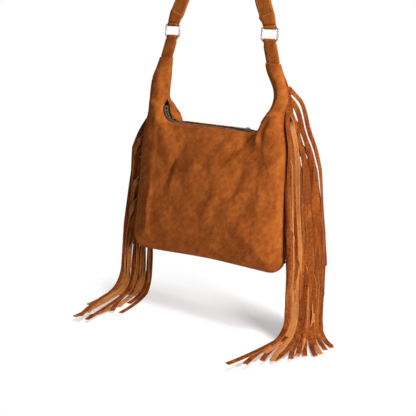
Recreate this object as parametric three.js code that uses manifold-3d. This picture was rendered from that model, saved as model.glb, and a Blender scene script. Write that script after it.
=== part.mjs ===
// A soft suede shoulder bag, hung by its strap, with a long fringe cut from one band in each side seam.
// Millimetres, +Z up, front towards -Y. The origin is the underside of the strap's crown, where a hook
// carries it.
import * as THREE from "three";
import { mergeVertices } from "three/addons/utils/BufferGeometryUtils.js";
import Module from "manifold-3d";

const wasm = await Module();
wasm.setup();

// The bag's own form. The zip lies at z = 0 in the bag's frame.
const STRAP_DROP = 345; // crown's underside down to the zip
const BAG_HEIGHT = 248; // zip down to the bottom seam
const BOTTOM_WIDTH = 324;
const SHOULDER_WIDTH = 302; // across the side seams at the height of the zip
const BAG_DEPTH = 88; // front to back, where it is fullest
const CORNER_RADIUS = 28;
const NECK_SPACING = 220; // between the middles of the two necks, at their tops
const NECK_HEIGHT = 120; // zip up to the neck's top
const NECK_WIDTH = 29;
const NECK_SPREAD = 14; // how far the neck leans out, halfway down
const NECK_BOW = 18; // how far the right neck's inner edge sags outwards, halfway up
const NECK_OUTER_HOLDS = 0.7; // how much less the neck's outer edge sags than its inner one
const CORNER_SAG = 10; // how much lower the left bottom corner hangs
const PUFF_OUT = 20; // how far a mouth's corner puffs out, front to back
const PUFF_OVER = 9; // and how far it hangs over towards the middle
const PUFF_REACH = 26; // how far round the corner the puff is felt
const PUFF_ROLL = 8; // from the mouth's edge, where the puff hangs over most
const PUFF_RISE = 5; // how soon it stands out beside the edge
const PUFF_FADE = 12; // from the side seam, where it has died out
const PUFF_SHARES = { front: [0.2, 0.5], back: [1, 0.3] }; // of it at the left and right corners
const SUEDE = 2; // panel thickness, two skins glued back to back
const SEAM_GAP = 0.15; // each panel stops this far short of the seam's middle plane

// The mouth and its zip
const MOUTH_STRAIGHT = 160; // the flat run of the zip
const MOUTH_RADIUS = 25; // where each end of the zip turns up into a neck
const MOUTH_RISE = 30; // height of the zip's ends
const MOUTH_WIDTH = 20; // between the two panels' edges, front to back
const FIT = 0.3; // clearance between pieces that lie against each other
const TAPE = 0.8;
const TAPE_LEG = 11; // the part of the tape sewn behind the panel's edge
const TOOTH_PITCH = 5;
const TOOTH_LENGTH = 2.5;
const TOOTH_WIDTH = 2.8; // along the row
const TOOTH_HEIGHT = 2;
const BEAD = 1; // the corded edge that carries the teeth
const PARTING = 1.4; // between the two rows, where the slider's neck runs
const STOP_LENGTH = 4;
const BEND_STEPS = 9; // facets round each turned-up end of the zip

// Slider and pull
const SLIDER_LENGTH = 12;
const SLIDER_WIDTH = 9;
const SLIDER_PLATE = 1.2;
const SLIDER_NECK = 0.7; // web between its two plates
const SLIDER_NOSE = 3; // length of its tapered end
const SLIDER_TAPER = 2.4; // and how much narrower that gets on each side
const SLIDER_WEB = 3.6; // length of the web
const SLIDER_PLAY = 0.35;
const BAIL_WIRE = 1.2;
const BAIL_SPAN = 7;
const BAIL_WIDTH = 1.6;
const PULL_PIN = 1.1;
const PULL_LENGTH = 26;
const PULL_WIDTH = 8;
const PULL_SHEET = 1.2;
const PULL_EYE = 1.6; // clear space round the bail's wire

// Rings, tabs and strap
const RING_SPACING = 198; // between the middles of the two rings
const RING_INNER = 26.5;
const RING_PITCH = 22; // between the middles of a ring's two bars
const WIRE = 3.2;
const WIRE_SIDES = 10;
const RING_CORNER = 4;
const TAB_LENGTH = 38; // neck's top up to the ring's lower bar
const TAB_WIDTH = 24;
const TAB_TUCK = 12; // sewn inside the neck
const TUCK_WIDTH = 11;
const LOOP_SUEDE = 1.6;
const BORE_PLAY = 0.4; // round a ring's bar
const STRAP_WIDTH = 28;
const STRAP_THICKNESS = 3.2;
const STRAP_FOLD = 22; // end folded back over itself and sewn
const STRAP_TWIST_FROM = 60; // along the leg, where its quarter turn starts
const CROWN_RADIUS = 34;
const CROWN_FLAT = 16;

// Fringe
const FRINGE_LENGTH = 322;
const STRAND_WIDTH = 7.6;
const STRAND_THICKNESS = 1.3;
const HEADER_THICKNESS = 1.6;
const HEADER_DEPTH = 8; // sewn between the two panels
const HEADER_PROUD = 2.6;
const FRINGE_TOP = 84; // above the zip
const FRINGE_END = 34; // lowest strand's height above the bottom seam
const STRANDS = 28; // on each side
const FLOOR_GAP = 120; // bottom seam down to the surface that the tips trail on
const FRINGE_SPREAD = 44; // front to back, each way
const FRINGE_BACK = 8; // how far behind the seam the bundle's middle hangs
const FRINGE_LAYERS = 28; // thickness of the hanging bundle
const FRINGE_SPLAY = 0.1; // outwards for each millimetre down
const FRINGE_LEAN = 0.045; // to the right for each millimetre down, on both sides
const SWEEP_RADIUS = 40; // where a strand turns onto the floor
const SPREAD_DROP = 44; // below its root, where a strand has reached its place in the bundle
const TWIST_LENGTH = 14; // over which a strand turns from edge on at the seam to the way it faces
const FACES_RIGHT = -0.52; // radians from straight out towards the front, that the right strands face
const FACES_LEFT = -1.08;
const FACES_LANE = 0.45; // how much further round the strands at the bundle's back face
const FACES_CHANCE = 0.7; // and how much that differs by chance
const LANDING = [0.25, 0.75]; // shares of its length between which a strand turns to lie flat on the floor
const PILE_GAP = 0.4; // between strands that lie over each other
const BEND_ERROR = 1.4; // how far a strand's straight pieces may leave its middle line

const COLOURS = {
  suede: new THREE.MeshStandardMaterial({ color: "#a05722", roughness: 0.95 }),
  fringe: new THREE.MeshStandardMaterial({ color: "#a65a26", roughness: 0.95 }),
  tape: new THREE.MeshStandardMaterial({ color: "#1d1f22", roughness: 0.9 }),
  teeth: new THREE.MeshStandardMaterial({ color: "#8d8265", roughness: 0.4, metalness: 1 }),
  ring: new THREE.MeshStandardMaterial({ color: "#d9d6d2", roughness: 0.2, metalness: 1 }),
};

const MOST_TRIES = 40;
const SAME_POINT = 1e-4; // points nearer than this are one point
const THINNEST = 2e-3; // lowest triangle that a joined mesh may keep
const TOUCH = 2e-3; // a point this near to an edge counts as lying on it
const SNAP_GRIDS = [0.002, 0.003, 0.005, 0.01, 0.02]; // tried in turn on a joined mesh
const X = new THREE.Vector3(1, 0, 0);
const Z = new THREE.Vector3(0, 0, 1);
const mix = (a, b, t) => a + (b - a) * t;
const clamp01 = (t) => Math.min(1, Math.max(0, t));
const smooth = (a, b, t) => {
  const q = clamp01((t - a) / (b - a));
  return q * q * (3 - 2 * q);
};

// A small fixed noise from 0 to 1, so that each strand differs and every build is the same.
const noise = (n) => {
  const s = Math.sin(n * 127.1 + 11.7) * 43758.5453;
  return s - Math.floor(s);
};

// Closed meshes from rings of points

function geometryOf(points, triangles) {
  const g = new THREE.BufferGeometry();
  g.setAttribute("position", new THREE.Float32BufferAttribute(points.flatMap((p) => [p.x, p.y, p.z]), 3));
  g.setIndex(triangles.flat());
  return g;
}

const quad = (a, b, c, d) => [
  [a, b, c],
  [a, c, d],
];

// Rings of equally many points, joined in turn and capped at both ends, or closed on themselves. Faces on
// the two sides of a ring are split along parallel diagonals, so that a thin ribbon stays a ribbon where it
// twists.
function skin(rings, closed = false) {
  const n = rings[0].length;
  const triangles = [];
  const last = closed ? rings.length : rings.length - 1;
  for (let i = 0; i < last; i++) {
    const a = i * n;
    const b = ((i + 1) % rings.length) * n;
    for (let k = 0; k < n; k++) {
      const m = (k + 1) % n;
      if (k < n / 2) triangles.push(...quad(a + k, a + m, b + m, b + k));
      else triangles.push(...quad(a + m, b + m, b + k, a + k));
    }
  }
  if (!closed) {
    const top = (rings.length - 1) * n;
    for (let k = 1; k < n - 1; k++) triangles.push([0, k + 1, k], [top, top + k, top + k + 1]);
  }
  return outward(geometryOf(rings.flat(), triangles));
}

// Turns a closed geometry so that its faces point out.
function outward(g) {
  const p = g.getAttribute("position");
  const index = g.index.array;
  const [a, b, c] = [new THREE.Vector3(), new THREE.Vector3(), new THREE.Vector3()];
  let volume = 0;
  for (let i = 0; i < index.length; i += 3) {
    a.fromBufferAttribute(p, index[i]);
    b.fromBufferAttribute(p, index[i + 1]);
    c.fromBufferAttribute(p, index[i + 2]);
    volume += a.dot(b.cross(c));
  }
  if (volume < 0) {
    for (let i = 0; i < index.length; i += 3) [index[i], index[i + 1]] = [index[i + 1], index[i]];
  }
  return g;
}

function solidOf(geometry) {
  const bare = geometry.clone();
  bare.deleteAttribute("normal");
  bare.deleteAttribute("uv");
  const g = mergeVertices(bare, SAME_POINT);
  const vertProperties = new Float32Array(g.getAttribute("position").array);
  const triVerts = new Uint32Array(g.index.array);
  return new wasm.Manifold(new wasm.Mesh({ numProp: 3, vertProperties, triVerts }));
}

function geometryFrom(solid) {
  const m = solid.getMesh();
  const g = new THREE.BufferGeometry();
  g.setAttribute("position", new THREE.BufferAttribute(new Float32Array(m.vertProperties), 3));
  g.setIndex(new THREE.BufferAttribute(new Uint32Array(m.triVerts), 1));
  return g;
}

// The outer skin of a mesh. Small pockets closed in between crossing strands are filled.
function filled(g) {
  const p = g.getAttribute("position");
  const index = g.index.array;
  const group = Array.from({ length: p.count }, (_, i) => i);
  const rootOf = (i) => {
    while (group[i] !== i) i = group[i] = group[group[i]];
    return i;
  };
  for (let i = 0; i < index.length; i += 3) {
    group[rootOf(index[i + 1])] = rootOf(index[i]);
    group[rootOf(index[i + 2])] = rootOf(index[i]);
  }
  const volumes = new Map();
  const [a, b, c] = [new THREE.Vector3(), new THREE.Vector3(), new THREE.Vector3()];
  for (let i = 0; i < index.length; i += 3) {
    a.fromBufferAttribute(p, index[i]);
    b.fromBufferAttribute(p, index[i + 1]);
    c.fromBufferAttribute(p, index[i + 2]);
    const key = rootOf(index[i]);
    volumes.set(key, (volumes.get(key) ?? 0) + a.dot(b.cross(c)));
  }
  const kept = [];
  for (let i = 0; i < index.length; i += 3) {
    if (volumes.get(rootOf(index[i])) > 0) kept.push(index[i], index[i + 1], index[i + 2]);
  }
  g.setIndex(kept);
  return g;
}

// Moves the points onto a fine grid and drops the faces that collapse, or returns null if that opens the
// mesh or leaves a face with hardly any height.
function snapped(g, grid) {
  const p = g.getAttribute("position");
  const keys = new Map();
  const points = [];
  const at = Array.from({ length: p.count }, (_, i) => {
    const q = [p.getX(i), p.getY(i), p.getZ(i)].map((v) => Math.round(v / grid));
    const key = q.join();
    if (!keys.has(key)) {
      keys.set(key, points.length);
      points.push(new THREE.Vector3(...q).multiplyScalar(grid));
    }
    return keys.get(key);
  });
  const faces = new Map();
  for (let i = 0; i < g.index.count; i += 3) {
    const t = [0, 1, 2].map((k) => at[g.index.getX(i + k)]);
    if (new Set(t).size < 3) continue;
    const key = [...t].sort((a, b) => a - b).join();
    if (faces.has(key)) faces.delete(key);
    else faces.set(key, t);
  }
  const edges = new Set();
  const [ab, ac, bc] = [new THREE.Vector3(), new THREE.Vector3(), new THREE.Vector3()];
  for (const t of faces.values()) {
    const [a, b, c] = t.map((k) => points[k]);
    const sides = [ab.subVectors(b, a), ac.subVectors(c, a), bc.subVectors(c, b)];
    const longest = Math.max(...sides.map((edge) => edge.length()));
    if (ab.cross(ac).length() / longest < THINNEST) return null;
    for (const k of [0, 1, 2]) {
      const edge = `${t[k]} ${t[(k + 1) % 3]}`;
      if (edges.has(edge)) return null;
      edges.add(edge);
    }
  }
  for (const edge of edges) if (!edges.has(edge.split(" ").reverse().join(" "))) return null;
  if (touching(points, [...edges].map((edge) => edge.split(" ").map(Number)))) return null;
  return geometryOf(points, [...faces.values()]);
}

// Whether a point lies on an edge that it isn't an end of.
function touching(points, edges) {
  const order = points.map((p, i) => i).sort((a, b) => points[a].x - points[b].x);
  const firstFrom = (x) => {
    let [low, high] = [0, order.length];
    while (low < high) {
      const middle = (low + high) >> 1;
      if (points[order[middle]].x < x) low = middle + 1;
      else high = middle;
    }
    return low;
  };
  const near = new THREE.Vector3();
  const span = new THREE.Line3();
  for (const [a, b] of edges) {
    if (a > b) continue;
    const box = new THREE.Box3().setFromPoints([points[a], points[b]]).expandByScalar(TOUCH);
    span.set(points[a], points[b]);
    for (let k = firstFrom(box.min.x); k < order.length && points[order[k]].x <= box.max.x; k++) {
      const p = points[order[k]];
      if (order[k] === a || order[k] === b || !box.containsPoint(p)) continue;
      if (span.closestPointToPoint(p, true, near).distanceTo(p) < TOUCH) return true;
    }
  }
  return false;
}

function cleaned(solid) {
  const g = filled(geometryFrom(solid));
  for (const grid of SNAP_GRIDS) {
    const fine = snapped(g, grid);
    if (fine) return fine;
  }
  return null;
}

function joined(geometries) {
  const g = cleaned(geometries.map(solidOf).reduce((a, b) => a.add(b)));
  if (!g) throw new Error("these pieces don't join into one closed surface");
  return g;
}

function box(x0, x1, y0, y1, z0, z1) {
  const g = new THREE.BoxGeometry(x1 - x0, y1 - y0, z1 - z0);
  return g.translate((x0 + x1) / 2, (y0 + y1) / 2, (z0 + z1) / 2);
}

// The outline of a panel, seen from the front. Points are Vector2 (x, z) for the right half.

const neckX = NECK_SPACING / 2;
const neckOuter = neckX + NECK_WIDTH / 2;
const neckInner = neckX - NECK_WIDTH / 2;
const mouthHalf = MOUTH_STRAIGHT / 2;
const mouthEnd = mouthHalf + MOUTH_RADIUS;
const bottomZ = -BAG_HEIGHT;
const floorZ = bottomZ - FLOOR_GAP;
const v2 = (x, z) => new THREE.Vector2(x, z);

const sideCurve = new THREE.SplineCurve([
  v2(BOTTOM_WIDTH / 2, bottomZ + CORNER_RADIUS),
  v2(mix(BOTTOM_WIDTH, SHOULDER_WIDTH, 0.55) / 2, bottomZ / 2),
  v2(SHOULDER_WIDTH / 2 + 1, bottomZ * 0.12),
  v2(mix(SHOULDER_WIDTH / 2, neckOuter, 0.3), NECK_HEIGHT * 0.15),
  v2(neckOuter + NECK_SPREAD, NECK_HEIGHT * 0.6),
  v2(neckOuter, NECK_HEIGHT),
]);

const neckSeam = new THREE.SplineCurve([
  v2(mouthEnd, MOUTH_RISE),
  v2(mix(mouthEnd, neckInner, 0.6), mix(MOUTH_RISE, NECK_HEIGHT, 0.4)),
  v2(neckInner, NECK_HEIGHT),
]);

// Point and direction on the zip's line, at a distance along it from its middle. The ends turn up.
const bendLength = (MOUTH_RADIUS * Math.PI) / 2;
const zipHalf = mouthHalf + bendLength + Math.max(0, MOUTH_RISE - MOUTH_RADIUS);
function zipAt(along) {
  const side = Math.sign(along) || 1;
  const s = Math.abs(along);
  let x = s;
  let z = 0;
  let angle = 0;
  if (s > mouthHalf) {
    angle = Math.min((s - mouthHalf) / MOUTH_RADIUS, Math.PI / 2);
    x = mouthHalf + MOUTH_RADIUS * Math.sin(angle);
    z = MOUTH_RADIUS * (1 - Math.cos(angle)) + Math.max(0, s - mouthHalf - bendLength);
  }
  return { x: side * x, z, angle: side * angle };
}

const cornerCentre = v2(BOTTOM_WIDTH / 2 - CORNER_RADIUS, bottomZ + CORNER_RADIUS);
const bottomLength = cornerCentre.x + (CORNER_RADIUS * Math.PI) / 2;
function bottomAt(share) {
  const s = Math.abs(share) * bottomLength;
  if (s <= cornerCentre.x) return v2(Math.sign(share) * s, bottomZ);
  const a = (s - cornerCentre.x) / CORNER_RADIUS;
  const x = cornerCentre.x + CORNER_RADIUS * Math.sin(a);
  return v2(Math.sign(share) * x, cornerCentre.y - CORNER_RADIUS * Math.cos(a));
}

// The soft bag hangs a little askew: the right neck bows out and the left bottom corner drops. All that is
// sewn to them goes with them.
function sagged(p) {
  const rise = clamp01((p.z - MOUTH_RISE / 2) / (NECK_HEIGHT - MOUTH_RISE / 2));
  const inner = 1 - NECK_OUTER_HOLDS * smooth(neckInner, neckOuter + NECK_SPREAD, p.x);
  p.x += NECK_BOW * inner * Math.sin(Math.PI * rise) ** 2 * smooth(mouthHalf / 2, mouthEnd, p.x);
  p.z -= CORNER_SAG * smooth(0, bottomZ, p.z) * smooth(BOTTOM_WIDTH / 8, -BOTTOM_WIDTH / 2, p.x);
  return p;
}

function sag(geometry) {
  const p = geometry.getAttribute("position");
  const q = new THREE.Vector3();
  for (let i = 0; i < p.count; i++) {
    sagged(q.fromBufferAttribute(p, i));
    p.setXYZ(i, q.x, q.y, q.z);
  }
  return geometry;
}

// Shares of the panel's half width that end at the mouth, at the neck's inner seam and at its top.
const TO_MOUTH = 0.62;
const TO_SEAM = 0.84;
function topAt(share) {
  const s = Math.abs(share);
  const side = Math.sign(share);
  if (s <= TO_MOUTH) {
    const at = zipAt((s / TO_MOUTH) * zipHalf);
    return v2(side * at.x, at.z);
  }
  if (s <= TO_SEAM) {
    const p = neckSeam.getPointAt((s - TO_MOUTH) / (TO_SEAM - TO_MOUTH));
    return v2(side * p.x, p.y);
  }
  return v2(side * mix(neckInner, neckOuter, (s - TO_SEAM) / (1 - TO_SEAM)), NECK_HEIGHT);
}

// A point of the panel's flat outline: share across, -1 to 1, and share up, 0 to 1.
function outlineAt(across, up) {
  const b = bottomAt(across);
  const t = topAt(across);
  const edge = sideCurve.getPointAt(up);
  const side = mix(-edge.x, edge.x, (across + 1) / 2);
  const low = mix(-BOTTOM_WIDTH / 2, BOTTOM_WIDTH / 2, (across + 1) / 2);
  const high = mix(-neckOuter, neckOuter, (across + 1) / 2);
  const x = mix(b.x, t.x, up) + side - mix(low, high, up);
  const z = mix(b.y, t.y, up) + edge.y - mix(sideCurve.getPointAt(0).y, NECK_HEIGHT, up);
  return v2(x, z);
}

const line = (n, at) => Array.from({ length: n + 1 }, (_, i) => at(i / n));
const seamLine = [...line(24, (t) => bottomAt(t)), ...line(40, (t) => sideCurve.getPointAt(t))];
const mouthLine = [...line(30, (t) => topAt(t * TO_MOUTH)), ...line(20, (t) => neckSeam.getPointAt(t))];

function distanceTo(points, x, z) {
  let best = Infinity;
  for (let i = 1; i < points.length; i++) {
    const a = points[i - 1];
    const b = points[i];
    const dx = b.x - a.x;
    const dz = b.y - a.y;
    const t = clamp01(((x - a.x) * dx + (z - a.y) * dz) / (dx * dx + dz * dz || 1));
    best = Math.min(best, Math.hypot(x - a.x - dx * t, z - a.y - dz * t));
  }
  return best;
}

// How full the panel stands off the seam's plane. It is round at the seams and flat towards the mouth.
const SEAM_ROUND = 50; // how far in from a seam the panel is still rounding
const MOUTH_SLOPE = 75; // how far below the mouth it is still filling out
const NECK_ROUND = 0.75; // depth of the neck's tube for its width
const NECK_PINCH = 0.5; // the same at its top, where it closes on the tab
const NECK_FROM = -15; // heights between which the bag's body turns into the necks
const NECK_TO = 50;
const FULLEST_EDGE = 0.74; // the share of its rounding that the panel has reached at its fullest
const MOUTH_FADE = 14; // above the zip's ends, where the mouth's width has died out
const MOUTH_REACH = 60; // below the zip, where it has fallen to about a third
const SEAM_RISE = 8; // from a seam, how soon the mouth's width is felt
const FRINGE_GAP = HEADER_THICKNESS / 2 + 2.4 * FIT; // the seam opens this far each way round the header
const GAP_FROM = 16; // the seam starts to open this far beyond the header's ends
const GAP_TO = 6; // and is open this far beyond them
const GAP_ACROSS = 12; // outwards from the zip's end, where the seam may open fully

const fringeFrom = bottomZ + FRINGE_END;
function seamGap(x, z) {
  const aboveEnd = smooth(fringeFrom - GAP_FROM, fringeFrom - GAP_TO, z);
  const belowTop = 1 - smooth(FRINGE_TOP + GAP_TO, FRINGE_TOP + GAP_FROM, z);
  const outside = smooth(mouthEnd, mouthEnd + GAP_ACROSS, Math.abs(x));
  return mix(SEAM_GAP, FRINGE_GAP, aboveEnd * belowTop * outside);
}

function standOff(x, z) {
  const fromSeam = distanceTo(seamLine, Math.abs(x), z);
  const fromMouth = distanceTo(mouthLine, Math.abs(x), z);
  const neck = smooth(NECK_FROM, NECK_TO, z);
  const edge = Math.sqrt(SEAM_ROUND * (1 - Math.exp(-fromSeam / SEAM_ROUND)));
  const full = (BAG_DEPTH - MOUTH_WIDTH) / 2 / (NECK_ROUND * Math.sqrt(SEAM_ROUND) * FULLEST_EDGE);
  const top = mix(full * (1 - Math.exp(-fromMouth / MOUTH_SLOPE)), Math.sqrt(fromMouth), neck);
  const round = mix(NECK_ROUND, NECK_PINCH, smooth(NECK_HEIGHT * 0.65, NECK_HEIGHT, z));
  const low = 1 - smooth(MOUTH_RISE, MOUTH_RISE + MOUTH_FADE, z);
  const mouth = (MOUTH_WIDTH / 2) * low * Math.exp(-fromMouth / MOUTH_REACH);
  return seamGap(x, z) + mouth * (1 - Math.exp(-fromSeam / SEAM_RISE)) + round * edge * top;
}

const BACK_FOLDS = 0.6; // the back panel's folds are the front's, mirrored and this much as deep
const SEAM_CALM = 26; // folds die out within this distance of a seam
const MOUTH_CALM = 16; // and of the mouth

// Soft folds in the front panel: from and to (x, z), depth (+ stands out) and half width.
const FOLDS = [
  { from: [104, 40], to: [16, -62], height: 6, width: 13 },
  { from: [96, 8], to: [52, -26], height: -4, width: 10 },
  { from: [-112, 22], to: [-78, -60], height: 4, width: 15 },
  { from: [-134, -60], to: [-128, -150], height: -5, width: 12 },
  { from: [104, -96], to: [66, -176], height: -4, width: 14 },
  { from: [-70, -70], to: [-86, -130], height: -3, width: 12 },
  { from: [20, -176], to: [-10, -226], height: -3, width: 16 },
];

function foldAt(x, z) {
  let sum = 0;
  for (const f of FOLDS) {
    const dx = f.to[0] - f.from[0];
    const dz = f.to[1] - f.from[1];
    const t = clamp01(((x - f.from[0]) * dx + (z - f.from[1]) * dz) / (dx * dx + dz * dz));
    const off = Math.hypot(x - f.from[0] - dx * t, z - f.from[1] - dz * t) / f.width;
    sum += f.height * Math.exp(-off * off) * Math.sin(Math.PI * mix(0.12, 0.88, t));
  }
  return sum;
}

// The puffed corners of the mouth, where the panel rolls over beside the zip's ends.
function puffed(point, facing) {
  const [left, right] = facing < 0 ? PUFF_SHARES.front : PUFF_SHARES.back;
  const side = Math.sign(point.x) || 1;
  const fromMouth = distanceTo(mouthLine, Math.abs(point.x), point.z);
  const corner = Math.hypot(Math.abs(point.x) - mouthEnd, point.z - MOUTH_RISE / 3) / PUFF_REACH;
  const puff = (side < 0 ? left : right) * Math.exp(-corner * corner);
  const near = fromMouth / PUFF_ROLL;
  const fade = smooth(0, PUFF_FADE, distanceTo(seamLine, Math.abs(point.x), point.z));
  point.y += facing * PUFF_OUT * puff * fade * (1 - Math.exp(-fromMouth / PUFF_RISE));
  point.x -= side * PUFF_OVER * puff * fade * near * Math.exp(1 - near);
  return point;
}

const spaced = (from, to, n) => Array.from({ length: n }, (_, i) => mix(from, to, (i + 1) / n));
const halfShares = [...spaced(0, TO_MOUTH, 8), ...spaced(TO_MOUTH, TO_SEAM, 2), 0.89, 0.95, 1];
const ACROSS = [...halfShares.map((s) => -s).reverse(), 0, ...halfShares];
const UP = [0, 0.02, 0.07, 0.14, 0.24, 0.34, 0.44, 0.54, 0.64, 0.74, 0.83, 0.91, 0.965, 1];

// One panel: its outer grid, an inner grid a skin's thickness behind it, and the rim between them.
function panel(facing) {
  const rows = UP.length;
  const columns = ACROSS.length;
  const outer = [];
  for (const up of UP) {
    for (const across of ACROSS) {
      const p = outlineAt(across, up);
      const fromSeam = distanceTo(seamLine, Math.abs(p.x), p.y);
      const fromMouth = distanceTo(mouthLine, Math.abs(p.x), p.y);
      const fold = facing < 0 ? foldAt(p.x, p.y) : BACK_FOLDS * foldAt(-p.x, p.y);
      const fade = smooth(0, SEAM_CALM, fromSeam) * smooth(0, MOUTH_CALM, fromMouth);
      const out = standOff(p.x, p.y) + fold * fade;
      outer.push(puffed(new THREE.Vector3(p.x, facing * out, p.y), facing));
    }
  }
  const at = (i, j) => outer[i * columns + j];
  const inner = outer.map((p, k) => {
    const i = Math.floor(k / columns);
    const j = k % columns;
    const right = at(i, Math.min(columns - 1, j + 1)).clone().sub(at(i, Math.max(0, j - 1)));
    const upward = at(Math.min(rows - 1, i + 1), j).clone().sub(at(Math.max(0, i - 1), j));
    const normal = right.cross(upward).normalize();
    if (normal.y * facing < 0) normal.negate();
    const q = p.clone().addScaledVector(normal, -SUEDE);
    const share = Math.abs(ACROSS[j]);
    const onTop = i === rows - 1;
    const onSide = j === 0 || j === columns - 1;
    if (i === 0 || onSide || (onTop && share > TO_MOUTH)) q.y = p.y;
    if (onTop && share >= TO_SEAM) {
      q.set(mix(neckX * Math.sign(p.x), p.x, 1 - (2 * SUEDE) / NECK_WIDTH), 0, p.z);
      q.y = facing * Math.max(SEAM_GAP, Math.abs(p.y) - SUEDE);
    }
    return q;
  });
  const triangles = [];
  const many = outer.length;
  for (let i = 0; i < rows - 1; i++) {
    for (let j = 0; j < columns - 1; j++) {
      const a = i * columns + j;
      const b = a + columns;
      triangles.push(...quad(a, a + 1, b + 1, b), ...quad(many + a, many + b, many + b + 1, many + a + 1));
    }
  }
  const rim = [];
  for (let j = 0; j < columns; j++) rim.push(j);
  for (let i = 1; i < rows; i++) rim.push(i * columns + columns - 1);
  for (let j = columns - 2; j >= 0; j--) rim.push((rows - 1) * columns + j);
  for (let i = rows - 2; i > 0; i--) rim.push(i * columns);
  rim.forEach((a, k) => {
    const b = rim[(k + 1) % rim.length];
    triangles.push(...quad(a, many + a, many + b, b));
  });
  return sag(outward(geometryOf([...outer, ...inner], triangles)));
}

// A shape drawn along the zip's line: each section point is (y, h), with h above the line.
function alongZip(section, from, to) {
  const bend = spaced(mouthHalf, to, BEND_STEPS);
  const whole = [...bend.map((s) => -s).reverse(), -mouthHalf, mouthHalf, ...bend];
  const stations = from > 0 || to < 0 ? [from, to] : whole;
  const rings = stations.map((s) => {
    const at = zipAt(s);
    const [sin, cos] = [Math.sin(at.angle), Math.cos(at.angle)];
    return section.map(([y, h]) => new THREE.Vector3(at.x - h * sin, y, at.z + h * cos));
  });
  return sag(skin(rings));
}

const rowInner = PARTING / 2;
const rowOuter = rowInner + TOOTH_LENGTH + BEAD;
const tapeOuter = MOUTH_WIDTH / 2 - SUEDE - FIT;
const tapeInner = rowOuter + 0.05;

function zipTape(facing) {
  const section = [
    [tapeInner, TAPE / 2],
    [tapeInner, -TAPE / 2],
    [tapeOuter - TAPE, -TAPE / 2],
    [tapeOuter - TAPE, -TAPE_LEG],
    [tapeOuter, -TAPE_LEG],
    [tapeOuter, TAPE / 2],
  ].map(([y, h]) => [facing * y, h]);
  return alongZip(section, -zipHalf, zipHalf);
}

// One row of teeth on its corded edge, laid along the zip's line.
function zipTeeth(facing, from, to) {
  const count = Math.floor((to - from) / TOOTH_PITCH);
  const start = (from + to - count * TOOTH_PITCH) / 2;
  const near = rowOuter - BEAD;
  const h = TOOTH_HEIGHT / 2;
  const section = [[near, -h], [rowOuter, -h], [rowOuter, h], [near, h]].map(([y, z]) => [facing * y, z]);
  const bead = alongZip(section, from, to);
  const teeth = Array.from({ length: count }, (_, i) => {
    const at = zipAt(start + (i + 0.5) * TOOTH_PITCH);
    const reach = TOOTH_LENGTH + BEAD / 2;
    const tooth = new THREE.BoxGeometry(TOOTH_WIDTH, reach, TOOTH_HEIGHT * 0.8);
    return sag(tooth.rotateY(-at.angle).translate(at.x, facing * (rowInner + reach / 2), at.z));
  });
  return joined([bead, ...teeth]);
}

const sliderHome = mouthHalf - SLIDER_LENGTH / 2 - 2;
const sliderTop = TOOTH_HEIGHT / 2 + SLIDER_PLAY;
const bailZ = sliderTop + SLIDER_PLATE + PULL_EYE + PULL_PIN / 2;

function zipSlider() {
  const half = SLIDER_LENGTH / 2;
  const wide = SLIDER_WIDTH / 2;
  const slope = half - SLIDER_NOSE;
  const tip = wide - SLIDER_TAPER;
  const corners = [[-half, -wide], [slope, -wide], [half, -tip], [half, tip], [slope, wide], [-half, wide]];
  const nose = new THREE.Shape(corners.map(([x, y]) => v2(x, y)));
  const settings = { depth: SLIDER_PLATE, bevelEnabled: false };
  const plate = (z) => new THREE.ExtrudeGeometry(nose, settings).translate(0, 0, z);
  const into = sliderTop + 0.5;
  const web = box(half - SLIDER_WEB - 0.4, half - 0.4, -SLIDER_NECK / 2, SLIDER_NECK / 2, -into, into);
  const foot = sliderTop + SLIDER_PLATE / 2;
  const top = bailZ + PULL_PIN / 2 + SLIDER_PLAY + BAIL_WIRE;
  const reach = BAIL_SPAN / 2;
  const across = BAIL_WIDTH / 2;
  const leg = (side) => {
    const ends = [side * reach, side * (reach - BAIL_WIRE)];
    return box(Math.min(...ends), Math.max(...ends), -across, across, foot, top);
  };
  const bar = box(-reach, reach, -across, across, top - BAIL_WIRE, top);
  return joined([plate(sliderTop), plate(-sliderTop - SLIDER_PLATE), web, leg(-1), leg(1), bar]);
}

// The pull hangs on a cross bar through the bail, so it turns about Y. At rest it lies back over the zip.
function zipPull() {
  const eyeHalf = BAIL_WIDTH / 2 + SLIDER_PLAY;
  const arm = (PULL_WIDTH - 2 * eyeHalf) / 2;
  const low = -PULL_SHEET * 0.9;
  const high = low + PULL_SHEET;
  const frame = [-1, 1].map((side) => {
    const inner = side * eyeHalf;
    const outer = side * (eyeHalf + arm);
    return box(-PULL_LENGTH, 0.6, Math.min(inner, outer), Math.max(inner, outer), low, high);
  });
  const reach = BAIL_SPAN / 2 + PULL_EYE;
  const plate = box(-PULL_LENGTH, -reach, -eyeHalf - 0.1, eyeHalf + 0.1, low, high);
  const pin = new THREE.CylinderGeometry(PULL_PIN / 2, PULL_PIN / 2, 2 * eyeHalf + 0.8, 12);
  return joined([...frame, plate, pin]);
}

// Rings

function ring() {
  const halfX = RING_INNER / 2 + WIRE / 2;
  const halfZ = RING_PITCH / 2;
  const rings = [];
  const perCorner = 3;
  [[1, 1, 0], [-1, 1, 1], [-1, -1, 2], [1, -1, 3]].forEach(([sx, sz, quarter]) => {
    for (let i = 0; i <= perCorner; i++) {
      const a = (quarter + i / perCorner) * (Math.PI / 2);
      const out = new THREE.Vector3(Math.cos(a), 0, Math.sin(a));
      const centre = new THREE.Vector3(sx * (halfX - RING_CORNER), 0, sz * (halfZ - RING_CORNER))
        .addScaledVector(out, RING_CORNER);
      rings.push(Array.from({ length: WIRE_SIDES }, (_, k) => {
        const b = (k / WIRE_SIDES) * 2 * Math.PI;
        const across = new THREE.Vector3(0, (WIRE / 2) * Math.sin(b), 0);
        return centre.clone().addScaledVector(out, (WIRE / 2) * Math.cos(b)).add(across);
      }));
    }
  });
  return skin(rings, true);
}

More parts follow.
